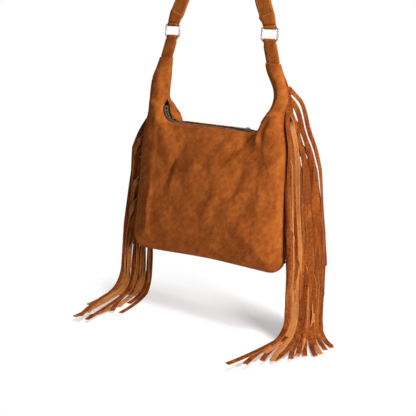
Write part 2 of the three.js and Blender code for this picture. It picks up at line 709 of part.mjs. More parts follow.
// A loop of suede round a ring's bar, seen end on, with its two skins meeting in a stem below.
// It is drawn with the bar at the origin and runs down a length, leaning sideways by lean.
const boreRadius = WIRE / 2 + BORE_PLAY;
const loopRadius = boreRadius + LOOP_SUEDE;
function loop(width, stemHalf, length, lean) {
  const meet = Math.asin(stemHalf / loopRadius);
  const shape = new THREE.Shape();
  shape.moveTo(-stemHalf, -length);
  shape.lineTo(stemHalf, -length);
  shape.absarc(0, 0, loopRadius, -Math.PI / 2 + meet, Math.PI * 1.5 - meet, false);
  shape.closePath();
  shape.holes.push(new THREE.Path().absarc(0, 0, boreRadius, 0, 2 * Math.PI, true));
  const g = new THREE.ExtrudeGeometry(shape, { depth: width, bevelEnabled: false, curveSegments: 12 });
  g.translate(0, 0, -width / 2);
  g.applyMatrix4(new THREE.Matrix4().makeBasis(new THREE.Vector3(0, 1, 0), Z, X));
  const p = g.getAttribute("position");
  const from = -loopRadius * Math.cos(meet);
  for (let i = 0; i < p.count; i++) {
    const below = Math.max(0, from - p.getZ(i));
    p.setX(i, p.getX(i) + lean * below);
  }
  return g;
}

const ringX = RING_SPACING / 2;
const lowerBarZ = NECK_HEIGHT + TAB_LENGTH; // in the bag's frame
const upperBarZ = lowerBarZ + RING_PITCH;

function tab(side) {
  const foot = FIT - TAB_LENGTH;
  const shift = side * (neckX - ringX);
  const half = TUCK_WIDTH / 2;
  const tuck = box(shift - half, shift + half, -LOOP_SUEDE, LOOP_SUEDE, foot - TAB_TUCK, foot + 1);
  return joined([loop(TAB_WIDTH, LOOP_SUEDE, -foot, shift / TAB_LENGTH), tuck]);
}

// Strap: two straight legs that run tangent onto an arc, with a short flat at the crown. The legs stand
// broad side to the front at the rings and make a quarter turn, so that the strap lies flat over the hook.
function strap() {
  const half = STRAP_THICKNESS / 2;
  const radius = CROWN_RADIUS + half;
  const barZ = upperBarZ - STRAP_DROP;
  const centre = v2(CROWN_FLAT / 2, -CROWN_RADIUS);
  const reach = v2(ringX, barZ).sub(centre);
  const distance = reach.length();
  const legLength = Math.sqrt(distance * distance - radius * radius);
  const lean = Math.atan2(reach.x, -reach.y) - Math.asin(radius / distance);
  const stations = [];
  const start = loopRadius * 0.8;
  for (const s of [start, 10, STRAP_FOLD - 1, STRAP_FOLD + 1, ...spaced(STRAP_FOLD + 1, STRAP_TWIST_FROM, 2),
    ...spaced(STRAP_TWIST_FROM, legLength, 10)]) {
    const squared = smooth(start, STRAP_FOLD, s);
    const turn = (smooth(STRAP_TWIST_FROM, legLength, s) * Math.PI) / 2;
    const along = new THREE.Vector3(-Math.sin(lean), 0, Math.cos(lean));
    const level = new THREE.Vector3(1, 0, 0);
    const flat = level.lerp(new THREE.Vector3(Math.cos(lean), 0, Math.sin(lean)), squared).normalize();
    const front = new THREE.Vector3(0, -1, 0);
    stations.push({
      at: new THREE.Vector3(ringX, 0, barZ).addScaledVector(along, s),
      wide: flat.clone().multiplyScalar(Math.cos(turn)).addScaledVector(front, -Math.sin(turn)),
      out: front.clone().multiplyScalar(Math.cos(turn)).addScaledVector(flat, Math.sin(turn)),
      width: mix(TAB_WIDTH, STRAP_WIDTH, squared) / 2,
      half: s < STRAP_FOLD ? half + LOOP_SUEDE / 2 : half,
    });
  }
  for (const angle of spaced(lean, Math.PI / 2, 6)) {
    const out = new THREE.Vector3(Math.cos(angle), 0, Math.sin(angle));
    stations.push({
      at: new THREE.Vector3(centre.x, 0, centre.y).addScaledVector(out, radius),
      wide: new THREE.Vector3(0, 1, 0),
      out,
      width: STRAP_WIDTH / 2,
      half,
    });
  }
  const ringOf = ({ at, wide, out, width, half: thick }, side) =>
    [[-1, -1], [1, -1], [1, 1], [-1, 1]].map(([a, b]) => {
      const p = at.clone().addScaledVector(wide, a * width).addScaledVector(out, b * thick);
      p.x *= side;
      return p;
    });
  const right = stations.map((s) => ringOf(s, 1));
  const left = stations.map((s) => ringOf(s, -1));
  const ribbon = skin([...right, ...left.reverse()]);
  const ends = [1, -1].map((side) =>
    loop(TAB_WIDTH, LOOP_SUEDE + 0.8, STRAP_FOLD * 0.5, 0).rotateY(Math.PI).translate(side * ringX, 0, barZ));
  return joined([ribbon, ...ends]);
}

// Fringe: a header sewn into the side seam, cut into strands that fall over the bag's side and trail on the
// floor.

const onFringe = (p) => p.y >= fringeFrom && p.y <= FRINGE_TOP;
const seamPoints = line(200, (t) => sideCurve.getPointAt(t)).filter(onFringe);
const seamLength = seamPoints.slice(1).reduce((sum, p, i) => sum + p.distanceTo(seamPoints[i]), 0);

// Point and outward direction on the fringed seam, at a share of its length from its top.
function seamAt(share) {
  let left = (1 - share) * seamLength;
  for (let i = 1; i < seamPoints.length; i++) {
    const step = seamPoints[i].distanceTo(seamPoints[i - 1]);
    if (left <= step || i === seamPoints.length - 1) {
      const p = seamPoints[i - 1].clone().lerp(seamPoints[i], clamp01(left / step));
      const d = seamPoints[i].clone().sub(seamPoints[i - 1]).normalize();
      return { p, out: v2(d.y, -d.x) };
    }
    left -= step;
  }
}

function header(side) {
  const rings = Array.from({ length: 25 }, (_, i) => {
    const { p, out } = seamAt(1 - i / 24);
    const h = HEADER_THICKNESS / 2;
    return [[-HEADER_DEPTH, -h], [HEADER_PROUD, -h], [HEADER_PROUD, h], [-HEADER_DEPTH, h]].map(
      ([o, y]) => sagged(new THREE.Vector3(side * (p.x + out.x * o), y, p.y + out.y * o)));
  });
  return skin(rings);
}

// Lanes across the bundle, front to back, in the order that they leave the seam.
const LANES = [0.1, -0.75, 0.62, -0.3, 0.9, -1, 0.35, -0.55];
const STEP = 2; // between the points of a strand's middle line

// A strand's middle line for the right side, the direction that it trails in and the one that it faces.
// Strands near the top lie outermost, and strands from the back of the bundle lie lowest on the floor.
function strandLine(i, side, seed) {
  const share = (i + 0.5 + (noise(i * 17 + seed) - 0.5) * 0.2) / STRANDS;
  const { p: root, out } = seamAt(share);
  const lane = LANES[i % LANES.length] + (noise(i * 3 + seed) - 0.5) * (0.04 + 0.02 * Math.abs(seed));
  const layers = FRINGE_LAYERS * (side > 0 ? 1 : 0.8);
  const hangX = BOTTOM_WIDTH / 2 + 5 + layers * (1 - share) - 16 * lane * lane;
  const hangY = FRINGE_BACK + lane * FRINGE_SPREAD;
  const settle = mix(110, 46, share);
  const fan = side > 0 ? mix(-0.28, 0.34, (lane + 1) / 2) : mix(-0.05, -0.28, (lane + 1) / 2);
  const turn = fan + 0.16 * (0.5 - share) + (noise(i * 5 + 2 * seed) - 0.5) * 0.06;
  const sweep = new THREE.Vector3(Math.sin(turn), -Math.cos(turn), 0);
  const below = LANES.filter((other) => other > LANES[i % LANES.length]).length;
  const rest = floorZ + STRAND_THICKNESS / 2 + below * (STRAND_THICKNESS + PILE_GAP);
  const radius = SWEEP_RADIUS * mix(0.9, 1.1, noise(i * 7 + seed));
  const length = FRINGE_LENGTH * mix(0.94, 1.03, noise(i * 11 + seed));
  const points = [];
  const p = new THREE.Vector3();
  const at = (drop) => {
    const q = clamp01(drop / settle);
    const ease = 1 - Math.pow(1 - q, 2.2);
    const arch = (side > 0 ? 9 : 8) * Math.sin(Math.min(1, drop / 16) * (Math.PI / 2));
    const sewn = sagged(p.set(side * root.x, 0, root.y));
    const start = side * sewn.x + out.x * (HEADER_PROUD - 0.6) + arch;
    const settled = mix(start, hangX, smooth(0, 1, q * 0.5 + ease * 0.5));
    const x = settled + (FRINGE_SPLAY + side * FRINGE_LEAN) * drop;
    return new THREE.Vector3(x, hangY * smooth(3, SPREAD_DROP, drop), sewn.z + out.y * HEADER_PROUD - drop);
  };
  let drop = 0;
  points.push(at(0).add(new THREE.Vector3(-2 * out.x, 0, -2 * out.y)), at(0));
  let used = 2;
  while (used < length && points.at(-1).z - STEP > rest + radius) {
    drop += STEP;
    points.push(at(drop));
    used += points.at(-1).distanceTo(points.at(-2));
  }
  const turnFrom = points.at(-1).clone();
  for (let a = STEP / radius; used < length && a <= Math.PI / 2; a += STEP / radius) {
    points.push(turnFrom.clone().addScaledVector(sweep, radius * (1 - Math.cos(a)))
      .addScaledVector(Z, -(turnFrom.z - rest) * Math.sin(a)));
    used += STEP;
  }
  for (; used < length; used += STEP) points.push(points.at(-1).clone().addScaledVector(sweep, STEP));
  const chance = (noise(i * 13 + seed) - 0.5) * FACES_CHANCE;
  const face = (side > 0 ? FACES_RIGHT : FACES_LEFT) + FACES_LANE * lane + chance;
  return { points, turn, facing: Math.PI / 2 + face };
}

// Keeps only the points that the line's shape needs.
function thinned(points, within) {
  const [a, b] = [points[0], points.at(-1)];
  const span = new THREE.Line3(a, b);
  let worst = 0;
  let index = 0;
  const q = new THREE.Vector3();
  points.forEach((p, i) => {
    const off = span.closestPointToPoint(p, true, q).distanceTo(p);
    if (off > worst) [worst, index] = [off, i];
  });
  if (worst <= within) return [0, points.length - 1];
  const first = thinned(points.slice(0, index + 1), within);
  const second = thinned(points.slice(index), within).map((i) => i + index);
  return [...first, ...second.slice(1)];
}

// The points that a strand's sections stand on: enough for its bends and for its twists.
function stationsOf(points) {
  const last = points.length - 1;
  const bends = thinned(points, BEND_ERROR);
  const rootTwist = spaced(0, TWIST_LENGTH / STEP, 3);
  const landing = spaced(...LANDING.map((share) => share * last), 4);
  const kept = [...bends];
  for (const k of [...rootTwist, ...landing].map(Math.round)) {
    if (k < last && kept.every((other) => Math.abs(other - k) > 1)) kept.push(k);
  }
  return kept.sort((a, b) => a - b);
}

function strand(i, side, seed) {
  const { points, turn, facing } = strandLine(i, side, seed);
  const rings = stationsOf(points).map((k) => {
    const s = k * STEP;
    const last = points.length - 1;
    const along = points[Math.min(k + 1, last)].clone().sub(points[Math.max(k - 1, 0)]).normalize();
    const yaw = mix(facing, turn, smooth(...LANDING, k / last));
    const flat = new THREE.Vector3(Math.cos(yaw), Math.sin(yaw), 0);
    const wide = Z.clone().lerp(flat, smooth(1, TWIST_LENGTH, s));
    wide.addScaledVector(along, -wide.dot(along)).normalize();
    const out = along.clone().cross(wide);
    return [[-1, -1], [1, -1], [1, 1], [-1, 1]].map(([a, b]) => {
      const p = points[k].clone().addScaledVector(wide, (a * STRAND_WIDTH) / 2);
      p.addScaledVector(out, (b * STRAND_THICKNESS) / 2);
      p.x *= side;
      return p;
    });
  });
  return skin(rings);
}

// Strands that cross can leave a pinched edge, so each is tried with other small differences until it joins
// cleanly.
function fringe(side) {
  let whole = header(side);
  for (let i = 0; i < STRANDS; i++) {
    let next = null;
    for (let tries = 0; tries < MOST_TRIES && !next; tries++) {
      next = cleaned(solidOf(whole).add(solidOf(strand(i, side, side * (1 + tries)))));
    }
    if (!next) throw new Error(`strand ${i} doesn't join into one closed surface`);
    whole = next;
  }
  return whole;
}

// Assembly

const part = new THREE.Group();
const bag = new THREE.Group();
bag.position.z = -STRAP_DROP;
part.add(bag);

function add(group, name, geometry, material, x = 0, y = 0, z = 0) {
  const mesh = new THREE.Mesh(geometry, material);
  mesh.name = name;
  mesh.position.set(x, y, z);
  group.add(mesh);
}

add(part, "strap", strap(), COLOURS.suede);
for (const [side, name] of [[-1, "left"], [1, "right"]]) {
  add(bag, `ring_${name}`, ring(), COLOURS.ring, side * ringX, 0, lowerBarZ + RING_PITCH / 2);
  add(bag, `tab_${name}`, tab(side), COLOURS.suede, side * ringX, 0, lowerBarZ);
  add(bag, `fringe_${name}`, fringe(side), COLOURS.fringe);
}
const stopFrom = zipHalf - STOP_LENGTH;
for (const [facing, name] of [[-1, "front"], [1, "back"]]) {
  add(bag, `${name}_panel`, panel(facing), COLOURS.suede);
  add(bag, `zip_tape_${name}`, zipTape(facing), COLOURS.tape);
  add(bag, `zip_teeth_${name}`, zipTeeth(facing, -stopFrom + FIT, stopFrom - FIT), COLOURS.teeth);
}
const stop = [[-1, -1], [1, -1], [1, 1], [-1, 1]].map(([y, h]) => [y * rowOuter, (h * TOOTH_HEIGHT) / 2]);
add(bag, "zip_stop_left", alongZip(stop, -zipHalf, -stopFrom), COLOURS.teeth);
add(bag, "zip_stop_right", alongZip(stop, stopFrom, zipHalf), COLOURS.teeth);
add(bag, "zip_slider", zipSlider(), COLOURS.teeth, sliderHome, 0, 0);
add(bag, "zip_pull", zipPull(), COLOURS.teeth, sliderHome, 0, bailZ);

export default part;
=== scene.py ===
# %% [markdown]
# A fringed suede shoulder bag, hung by its strap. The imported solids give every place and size, and this
# script dresses them: each soft piece is built again as a thin, folded skin of suede, and the metal keeps
# its solids or gets smoother ones. All shapes are worked out in millimetres in the bag's own frame, where
# the zip lies at height 0, and are moved to the part's frame at the end, where the origin is the underside
# of the strap's crown.

# %% Load the frame
import math

import bmesh
import bpy
import numpy as np
from mathutils import Matrix, Vector, noise


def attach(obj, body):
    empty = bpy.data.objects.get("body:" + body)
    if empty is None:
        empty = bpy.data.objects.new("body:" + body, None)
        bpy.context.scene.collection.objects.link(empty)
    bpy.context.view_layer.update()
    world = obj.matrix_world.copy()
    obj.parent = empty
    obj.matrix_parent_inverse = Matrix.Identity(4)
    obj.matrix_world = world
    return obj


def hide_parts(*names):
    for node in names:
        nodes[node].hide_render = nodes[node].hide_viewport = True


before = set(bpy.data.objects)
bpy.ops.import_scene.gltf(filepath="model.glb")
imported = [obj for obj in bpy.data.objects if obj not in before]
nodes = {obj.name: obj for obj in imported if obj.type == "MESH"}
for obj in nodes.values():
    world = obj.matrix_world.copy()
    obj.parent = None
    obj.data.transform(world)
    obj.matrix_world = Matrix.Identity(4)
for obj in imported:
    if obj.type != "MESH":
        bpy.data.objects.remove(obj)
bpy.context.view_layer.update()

# %% [markdown]
# The sizes are the ones that the solids were made from. They are named once here, so that a change of a
# size is one change. The bag is soft, and its folds and sag are small numbers beside its width.

# %% Sizes in millimetres
MM = 0.001
STRAP_DROP = 345
BAG_HEIGHT = 248
BOTTOM_WIDTH = 324
SHOULDER_WIDTH = 302
BAG_DEPTH = 88
CORNER_RADIUS = 28
NECK_SPACING = 220
NECK_HEIGHT = 120
NECK_WIDTH = 29
NECK_SPREAD = 14
NECK_BOW = 18
CORNER_SAG = 10
PUFF_OUT = 20
PUFF_OVER = 9
PUFF_REACH = 26
PUFF_NEAR = 8
SUEDE = 2
MOUTH_STRAIGHT = 160
MOUTH_RADIUS = 25
MOUTH_RISE = 30
MOUTH_WIDTH = 20
BOTTOM = -BAG_HEIGHT
MOUTH_HALF = MOUTH_STRAIGHT / 2
MOUTH_END = MOUTH_HALF + MOUTH_RADIUS
NECK_X = NECK_SPACING / 2
NECK_OUTER = NECK_X + NECK_WIDTH / 2
NECK_INNER = NECK_X - NECK_WIDTH / 2
FLOOR_GAP = 120
FLOOR = BOTTOM - FLOOR_GAP


def mix(a, b, t):
    return a + (b - a) * t


def smooth(start, end, value):
    """0 before start, 1 after end, and an easy curve between them."""
    t = np.clip((np.asarray(value, float) - start) / (end - start), 0, 1)
    return t * t * (3 - 2 * t)


def chance(n):
    """A fixed number from 0 to 1 for each n, so that strands differ and every run is the same."""
    s = math.sin(n * 127.1 + 11.7) * 43758.5453
    return s - math.floor(s)


print("bag", BOTTOM_WIDTH, "x", BAG_HEIGHT, "x", BAG_DEPTH, "mm, floor at", FLOOR)

# %% [markdown]
# Every piece becomes one mesh. Points are kept in rows that can be skinned with four-sided faces, which
# Blender shades smoothly. A mesh could also be drawn with Blender's curve or skin tools, but here the rows
# come straight from the outline's own formulas, so a mesh made from numbers is shorter and exact.


# %% Meshes from rows of points
SIDE_NAMES = {-1: "left", 1: "right"}
MIRROR = np.array([-1, 1, 1])


def to_part(points):
    """Millimetres in the bag's frame, moved to metres in the part's frame."""
    moved = np.array(points, float).reshape(-1, 3)
    moved[:, 2] -= STRAP_DROP
    return moved * MM


def make_piece(name, shape, materials, flat=False):
    """One object from a shape, which is its points, its faces and the material slot of each face."""
    points, faces, slots = shape
    mesh = bpy.data.meshes.new(name)
    mesh.from_pydata(to_part(points).tolist(), [], [list(map(int, face)) for face in faces])
    for material in materials:
        mesh.materials.append(material)
    if len(materials) > 1:
        mesh.polygons.foreach_set("material_index", [int(slot) for slot in slots])
    mesh.polygons.foreach_set("use_smooth", [not flat] * len(mesh.polygons))
    mesh.update()
    made = bpy.data.objects.new(name, mesh)
    bpy.context.scene.collection.objects.link(made)
    return made


def grid_faces(rows, columns, start=0, closed=False):
    """Faces between neighbouring rows; closed joins each row's last point to its first."""
    across = columns if closed else columns - 1
    i, j = np.meshgrid(np.arange(rows - 1), np.arange(across), indexing="ij")
    a = start + i * columns + j
    b = start + i * columns + (j + 1) % columns
    return np.stack([a, b, b + columns, a + columns], axis=-1).reshape(-1, 4)


def tube_faces(rows, columns):
    """Faces of a closed section carried along a line, and one face over each end."""
    faces = [tuple(face) for face in grid_faces(rows, columns, closed=True)]
    return faces + [tuple(range(columns))[::-1], tuple(range((rows - 1) * columns, rows * columns))]


def plain(points, faces):
    """A shape of one material."""
    return points, faces, [0] * len(faces)


def on_side(side, shape):
    """A shape drawn for the right side, or its mirror image for the left."""
    if side > 0:
        return shape
    points, faces, slots = shape
    return points * MIRROR, [face[::-1] for face in faces], slots


def join_shapes(shapes):
    """Several shapes, each (points, faces, slots), as one."""
    points, faces, slots, count = [], [], [], 0
    for some_points, some_faces, some_slots in shapes:
        points.append(some_points)
        faces += [[int(k) + count for k in face] for face in some_faces]
        slots += list(some_slots)
        count += len(some_points)
    return np.concatenate(points), faces, slots


print("mesh helpers ready")

# %% [markdown]
# A colour picked from a picture is in sRGB, the screen's scale, but Blender's shaders work with linear
# light. One function turns the hex value that a maker would write down into the number a shader needs.
# A second one adds a node with its settings and links in a single line. The few nodes that come back in
# most materials, such as noise and relief, have a short name too, so each material reads as a recipe.


# %% Colours and nodes
def colour(hex_value):
    """An sRGB hex value as linear red, green, blue and full alpha."""
    parts = [int(hex_value[i : i + 2], 16) / 255 for i in (1, 3, 5)]
    return [v / 12.92 if v <= 0.04045 else ((v + 0.055) / 1.055) ** 2.4 for v in parts] + [1.0]


def add_node(material, kind, inputs=None, **settings):
    """Adds one node. An input is a value, or another node's output socket, which is linked."""
    tree = material.node_tree
    node = tree.nodes.new(kind)
    for key, value in settings.items():
        setattr(node, key, value)
    for key, value in (inputs or {}).items():
        if isinstance(value, bpy.types.NodeSocket):
            tree.links.new(value, node.inputs[key])
        else:
            node.inputs[key].default_value = value
    return node


def new_material(name):
    """An empty material, and the place that its pattern is worked out in."""
    material = bpy.data.materials.new(name)
    material.use_nodes = True
    material.node_tree.nodes.clear()
    place = add_node(material, "ShaderNodeTexCoord").outputs["Object"]
    return material, place


def finish_material(material, shader):
    add_node(material, "ShaderNodeOutputMaterial", {"Surface": shader.outputs[0]})
    return material


def surface(material, looks):
    """Ends a material with one Principled shader."""
    return finish_material(material, add_node(material, "ShaderNodeBsdfPrincipled", looks))


def per_metre(millimetres):
    """A noise scale whose features are that many millimetres across."""
    return 1 / (millimetres * MM)


def noise_in(material, place, size, detail, roughness, distortion=0.0):
    inputs = {"Vector": place, "Scale": per_metre(size), "Detail": detail, "Roughness": roughness}
    return add_node(material, "ShaderNodeTexNoise", {**inputs, "Distortion": distortion}).outputs["Fac"]


def waves_in(material, place, size, direction, distortion=0.0):
    """Waves with a period of 0.31 times the size."""
    inputs = {"Vector": place, "Scale": per_metre(size), "Distortion": distortion}
    return add_node(material, "ShaderNodeTexWave", inputs, bands_direction=direction).outputs["Fac"]


def mix_values(material, share, first, second):
    inputs = {0: share, 2: first, 3: second}
    return add_node(material, "ShaderNodeMix", inputs, data_type="FLOAT").outputs[0]


def mix_colours(material, share, first, second):
    inputs = {0: share, 6: colour(first), 7: colour(second)}
    return add_node(material, "ShaderNodeMix", inputs, data_type="RGBA").outputs[2]


def relief(material, height, strength, depth, **under):
    """Bumps of that many millimetres, on top of another relief where one is given."""
    inputs = {"Height": height, "Strength": strength, "Distance": depth * MM, **under}
    return add_node(material, "ShaderNodeBump", inputs).outputs[0]


print("tan in linear light:", [round(v, 3) for v in colour("#a65a26")[:3]])

# %% [markdown]
# Suede is split calf leather whose flesh side has been buffed into a short, dense nap. The nap scatters
# light, so there is no shine but a soft glow where it is seen edge on, which is what sheen does. Where a
# hand has brushed it one way it looks darker, and the other way lighter: broad cloudy patches about 30 mm
# across with slanting streaks in them. On the strands the patches are narrower, long and upright. Up close
# it is a fine felt of fibres. The fibres are 0.1 mm thick; they are drawn at 0.9 mm, as coarse as a render
# of the whole bag needs to show them. A picture of suede could be laid over the pieces, but noise has no
# seams and needs no file.


# %% Suede
# How the nap of panels and strap is brushed: the angles of its patches and streaks.
BRUSHED = (0.2, 0.65, 0.1)
UPRIGHT = (0.0, 0.0, 0.0)
STREAKS_ACROSS = 5
STREAK_SHARE = 0.44
FIBRE_SHARE = 0.28


def make_suede(name, tones, patch=34.0, nap=0.9, sheen=0.12, lean=BRUSHED, along=1.7, spread=0.16):
    """Suede from three tones, dark to light, with the sizes of its patches and nap in millimetres."""
    material, place = new_material(name)
    brushed = add_node(
        material,
        "ShaderNodeMapping",
        {"Vector": place, "Rotation": lean, "Scale": (1.0, 1.0, along)},
        vector_type="TEXTURE",
    ).outputs[0]
    clouds = noise_in(material, brushed, patch, 6.0, 0.62, 0.7)
    streaks = noise_in(material, brushed if lean == BRUSHED else place, patch / STREAKS_ACROSS, 4.0, 0.6)
    fibres = noise_in(material, place, nap, 3.0, 0.7)
    patches = mix_values(material, STREAK_SHARE, clouds, streaks)
    ramp = add_node(
        material, "ShaderNodeValToRGB", {"Fac": mix_values(material, FIBRE_SHARE, patches, fibres)}
    )
    stops = ramp.color_ramp.elements
    stops.new(0.5)
    for stop, at, tone in zip(stops, (0.5 - spread, 0.5, 0.5 + spread), tones):
        stop.position = at
        stop.color = colour(tone)
    dents = relief(material, streaks, 0.35, 0.9)
    return surface(
        material,
        {
            "Base Color": ramp.outputs["Color"],
            "Roughness": 0.95,
            "IOR": 1.5,
            "Specular IOR Level": 0.15,
            "Sheen Weight": sheen,
            "Sheen Roughness": 0.4,
            "Sheen Tint": colour("#e08a4a"),
            "Normal": relief(material, fibres, 0.5, 0.25, Normal=dents),
        },
    )


suede = make_suede("tan_suede", ("#6d300b", "#9a4f1b", "#ba6b28"))
strap_suede = make_suede("strap_suede", ("#80400e", "#9c511b", "#b86827"), patch=22.0)
strand_suede = make_suede(
    "strand_suede", ("#451c04", "#7c380e", "#a65c25"), patch=16.0, lean=UPRIGHT, along=8.0, spread=0.11
)
print("suede materials:", suede.name, strap_suede.name, strand_suede.name)

# %% [markdown]
# The back of each fringe strand is the other side of the split: undyed deeper down, so it is a pale tan
# and smoother, with a dry, chalky look. A cut edge shows the same pale core.

# %% The strands' reverse
strand_reverse = make_suede(
    "pale_split_reverse", ("#9c5c2b", "#b4733d", "#c4854c"), patch=18.0, nap=0.7, sheen=0.1
)
print("reverse:", strand_reverse.name)

# %% [markdown]
# The thread is waxed polyester in a brown a little lighter than the suede, with a faint gloss. Slanting
# waves stand for the twist of its plies.


# %% Thread
def make_thread(name, main, pale):
    material, place = new_material(name)
    tone = mix_colours(material, waves_in(material, place, 4.0, "DIAGONAL", 1.0), main, pale)
    return surface(material, {"Base Color": tone, "Roughness": 0.6, "IOR": 1.5})


thread = make_thread("waxed_thread", "#b5773f", "#dba06b")
print("thread:", thread.name)

# %% [markdown]
# The rings are steel wire, bent to a rounded rectangle, welded, polished and nickel plated. Polished metal
# takes its whole look from what it reflects, so it has a pale colour and a low roughness with faint
# smudges. The zip's teeth and slider are brass with an antique finish: dark brown in the hollows and
# rubbed to olive gold on top.


# %% Metals
def make_metal(name, bright, dull, roughness, patch):
    """Metal whose colour and gloss vary a little, in patches of that many millimetres."""
    material, place = new_material(name)
    wear = noise_in(material, place, patch, 5.0, 0.6)
    gloss = {"Value": wear, "To Min": roughness * 1.3, "To Max": roughness * 0.7}
    return surface(
        material,
        {
            "Base Color": mix_colours(material, wear, dull, bright),
            "Metallic": 1.0,
            "Roughness": add_node(material, "ShaderNodeMapRange", gloss).outputs[0],
            "Normal": relief(material, wear, 0.1, 0.05),
        },
    )


nickel = make_metal("polished_nickel", "#a89c92", "#6d625a", 0.25, 6.0)
brass = make_metal("antique_brass", "#867a58", "#3b3022", 0.42, 1.5)
print("metals:", nickel.name, brass.name)

# %% [markdown]
# Zip tape is woven polyester, black here. Its threads are 0.3 mm apart. They are drawn as crossed waves
# 1.1 mm apart, as fine as a render of the whole bag can show.


# %% Zip tape
def make_tape(name, dark, pale):
    material, place = new_material(name)
    crossed = {k: waves_in(material, place, 3.6, direction) for k, direction in enumerate("XZ")}
    weave = add_node(material, "ShaderNodeMath", crossed, operation="MULTIPLY").outputs[0]
    return surface(
        material,
        {
            "Base Color": mix_colours(material, weave, dark, pale),
            "Roughness": 0.85,
            "Sheen Weight": 0.1,
            "Normal": relief(material, weave, 0.5, 0.15),
        },
    )


tape_weave = make_tape("woven_polyester_tape", "#0c0d0d", "#1c1d1b")
print("tape:", tape_weave.name)

# %% [markdown]
# The bag's outline is drawn once, from the front, as three curves: the side seam from the bottom corner
# to the neck's top, the inner seam of the neck, and the zip's line, whose ends turn up into the necks. A
# smooth curve through a few points is enough for each. Points are spaced evenly along a curve, so that
# a share of its length always means the same place.


# %% Curves of the outline
def distances(line):
    """How far along a line of points each of them lies."""
    return np.concatenate([[0], np.cumsum(np.linalg.norm(np.diff(line, axis=0), axis=1))])


def read_along(marks, line, at):
    """The line's points at places between its marks, such as distances."""
    return np.stack([np.interp(at, marks, line[:, k]) for k in range(line.shape[1])], axis=-1)


def spline(points, steps=400):
    """A smooth curve through the points, as many points evenly spaced along it."""
    points = np.array(points, float)
    t = np.linspace(0, len(points) - 1, 4001)
    i = np.minimum(t.astype(int), len(points) - 2)
    w = (t - i)[:, None]
    p0 = points[np.maximum(i - 1, 0)]
    p1, p2 = points[i], points[i + 1]
    p3 = points[np.minimum(i + 2, len(points) - 1)]
    v0, v1 = (p2 - p0) / 2, (p3 - p1) / 2
    curve = (2 * p1 - 2 * p2 + v0 + v1) * w**3 + (-3 * p1 + 3 * p2 - 2 * v0 - v1) * w**2 + v0 * w + p1
    gone = distances(curve)
    return read_along(gone, curve, np.linspace(0, gone[-1], steps + 1))


def point_at(curve, share):
    """The curve's point, or points, at a share of its length."""
    return read_along(np.arange(len(curve)), curve, np.clip(share, 0, 1) * (len(curve) - 1))


side_seam = spline(
    [
        (BOTTOM_WIDTH / 2, BOTTOM + CORNER_RADIUS),
        (mix(BOTTOM_WIDTH, SHOULDER_WIDTH, 0.55) / 2, BOTTOM / 2),
        (SHOULDER_WIDTH / 2 + 1, BOTTOM * 0.12),
        (mix(SHOULDER_WIDTH / 2, NECK_OUTER, 0.3), NECK_HEIGHT * 0.15),
        (NECK_OUTER + NECK_SPREAD, NECK_HEIGHT * 0.6),
        (NECK_OUTER, NECK_HEIGHT),
    ]
)
neck_seam = spline(
    [
        (MOUTH_END, MOUTH_RISE),
        (mix(MOUTH_END, NECK_INNER, 0.6), mix(MOUTH_RISE, NECK_HEIGHT, 0.4)),
        (NECK_INNER, NECK_HEIGHT),
    ]
)
ZIP_BEND = MOUTH_RADIUS * math.pi / 2
ZIP_HALF = MOUTH_HALF + ZIP_BEND + MOUTH_RISE - MOUTH_RADIUS


def zip_at(along):
    """x, height and slope of the zip's line at distances along it from its middle."""
    side = np.where(np.asarray(along) < 0, -1.0, 1.0)
    s = np.abs(along)
    angle = np.clip((s - MOUTH_HALF) / MOUTH_RADIUS, 0, math.pi / 2)
    x = np.minimum(s, MOUTH_HALF) + MOUTH_RADIUS * np.sin(angle)
    z = MOUTH_RADIUS * (1 - np.cos(angle)) + np.maximum(0, s - MOUTH_HALF - ZIP_BEND)
    return side * x, z, side * angle


print("side seam mm:", round(distances(side_seam)[-1]), "zip mm:", round(2 * ZIP_HALF))

# %% [markdown]
# A panel of the bag is a sheet between four edges: bottom, top and two sides. A Coons patch blends the
# four edges into a grid, the way a piece of stretched cloth would. Then each point stands off the seam's
# plane: quickly near the seams, where the two skins are sewn together, and fully in the middle.

# %% The panel's flat grid
# Shares of half the top edge: the mouth ends at the first, and the neck's inner seam at the second.
TO_MOUTH = 0.62
TO_SEAM = 0.84
CORNER_X = BOTTOM_WIDTH / 2 - CORNER_RADIUS
BOTTOM_LENGTH = CORNER_X + CORNER_RADIUS * math.pi / 2


def bottom_at(across):
    s = np.abs(across) * BOTTOM_LENGTH
    a = np.maximum(0, s - CORNER_X) / CORNER_RADIUS
    x = np.minimum(s, CORNER_X) + CORNER_RADIUS * np.sin(a)
    return np.stack([np.sign(across) * x, BOTTOM + CORNER_RADIUS * (1 - np.cos(a))], axis=-1)


def top_at(across):
    s = np.abs(across)
    x, z, _ = zip_at(np.minimum(s, TO_MOUTH) / TO_MOUTH * ZIP_HALF)
    on_seam = point_at(neck_seam, (s - TO_MOUTH) / (TO_SEAM - TO_MOUTH))
    x = np.where(s > TO_MOUTH, on_seam[..., 0], x)
    z = np.where(s > TO_MOUTH, on_seam[..., 1], z)
    top_x = mix(NECK_INNER, NECK_OUTER, (s - TO_SEAM) / (1 - TO_SEAM))
    x = np.where(s > TO_SEAM, top_x, x)
    z = np.where(s > TO_SEAM, NECK_HEIGHT, z)
    return np.stack([np.sign(across) * x, z], axis=-1)


def outline_at(across, up):
    """The flat panel's point at a share across, -1 to 1, and up, 0 to 1."""
    b, t = bottom_at(across), top_at(across)
    edge = point_at(side_seam, up)
    half = (across + 1) / 2
    side = mix(-edge[..., 0], edge[..., 0], half)
    low = mix(-BOTTOM_WIDTH / 2, BOTTOM_WIDTH / 2, half)
    high = mix(-NECK_OUTER, NECK_OUTER, half)
    x = mix(b[..., 0], t[..., 0], up) + side - mix(low, high, up)
    z = mix(b[..., 1], t[..., 1], up) + edge[..., 1] - mix(side_seam[0, 1], NECK_HEIGHT, up)
    return x, z


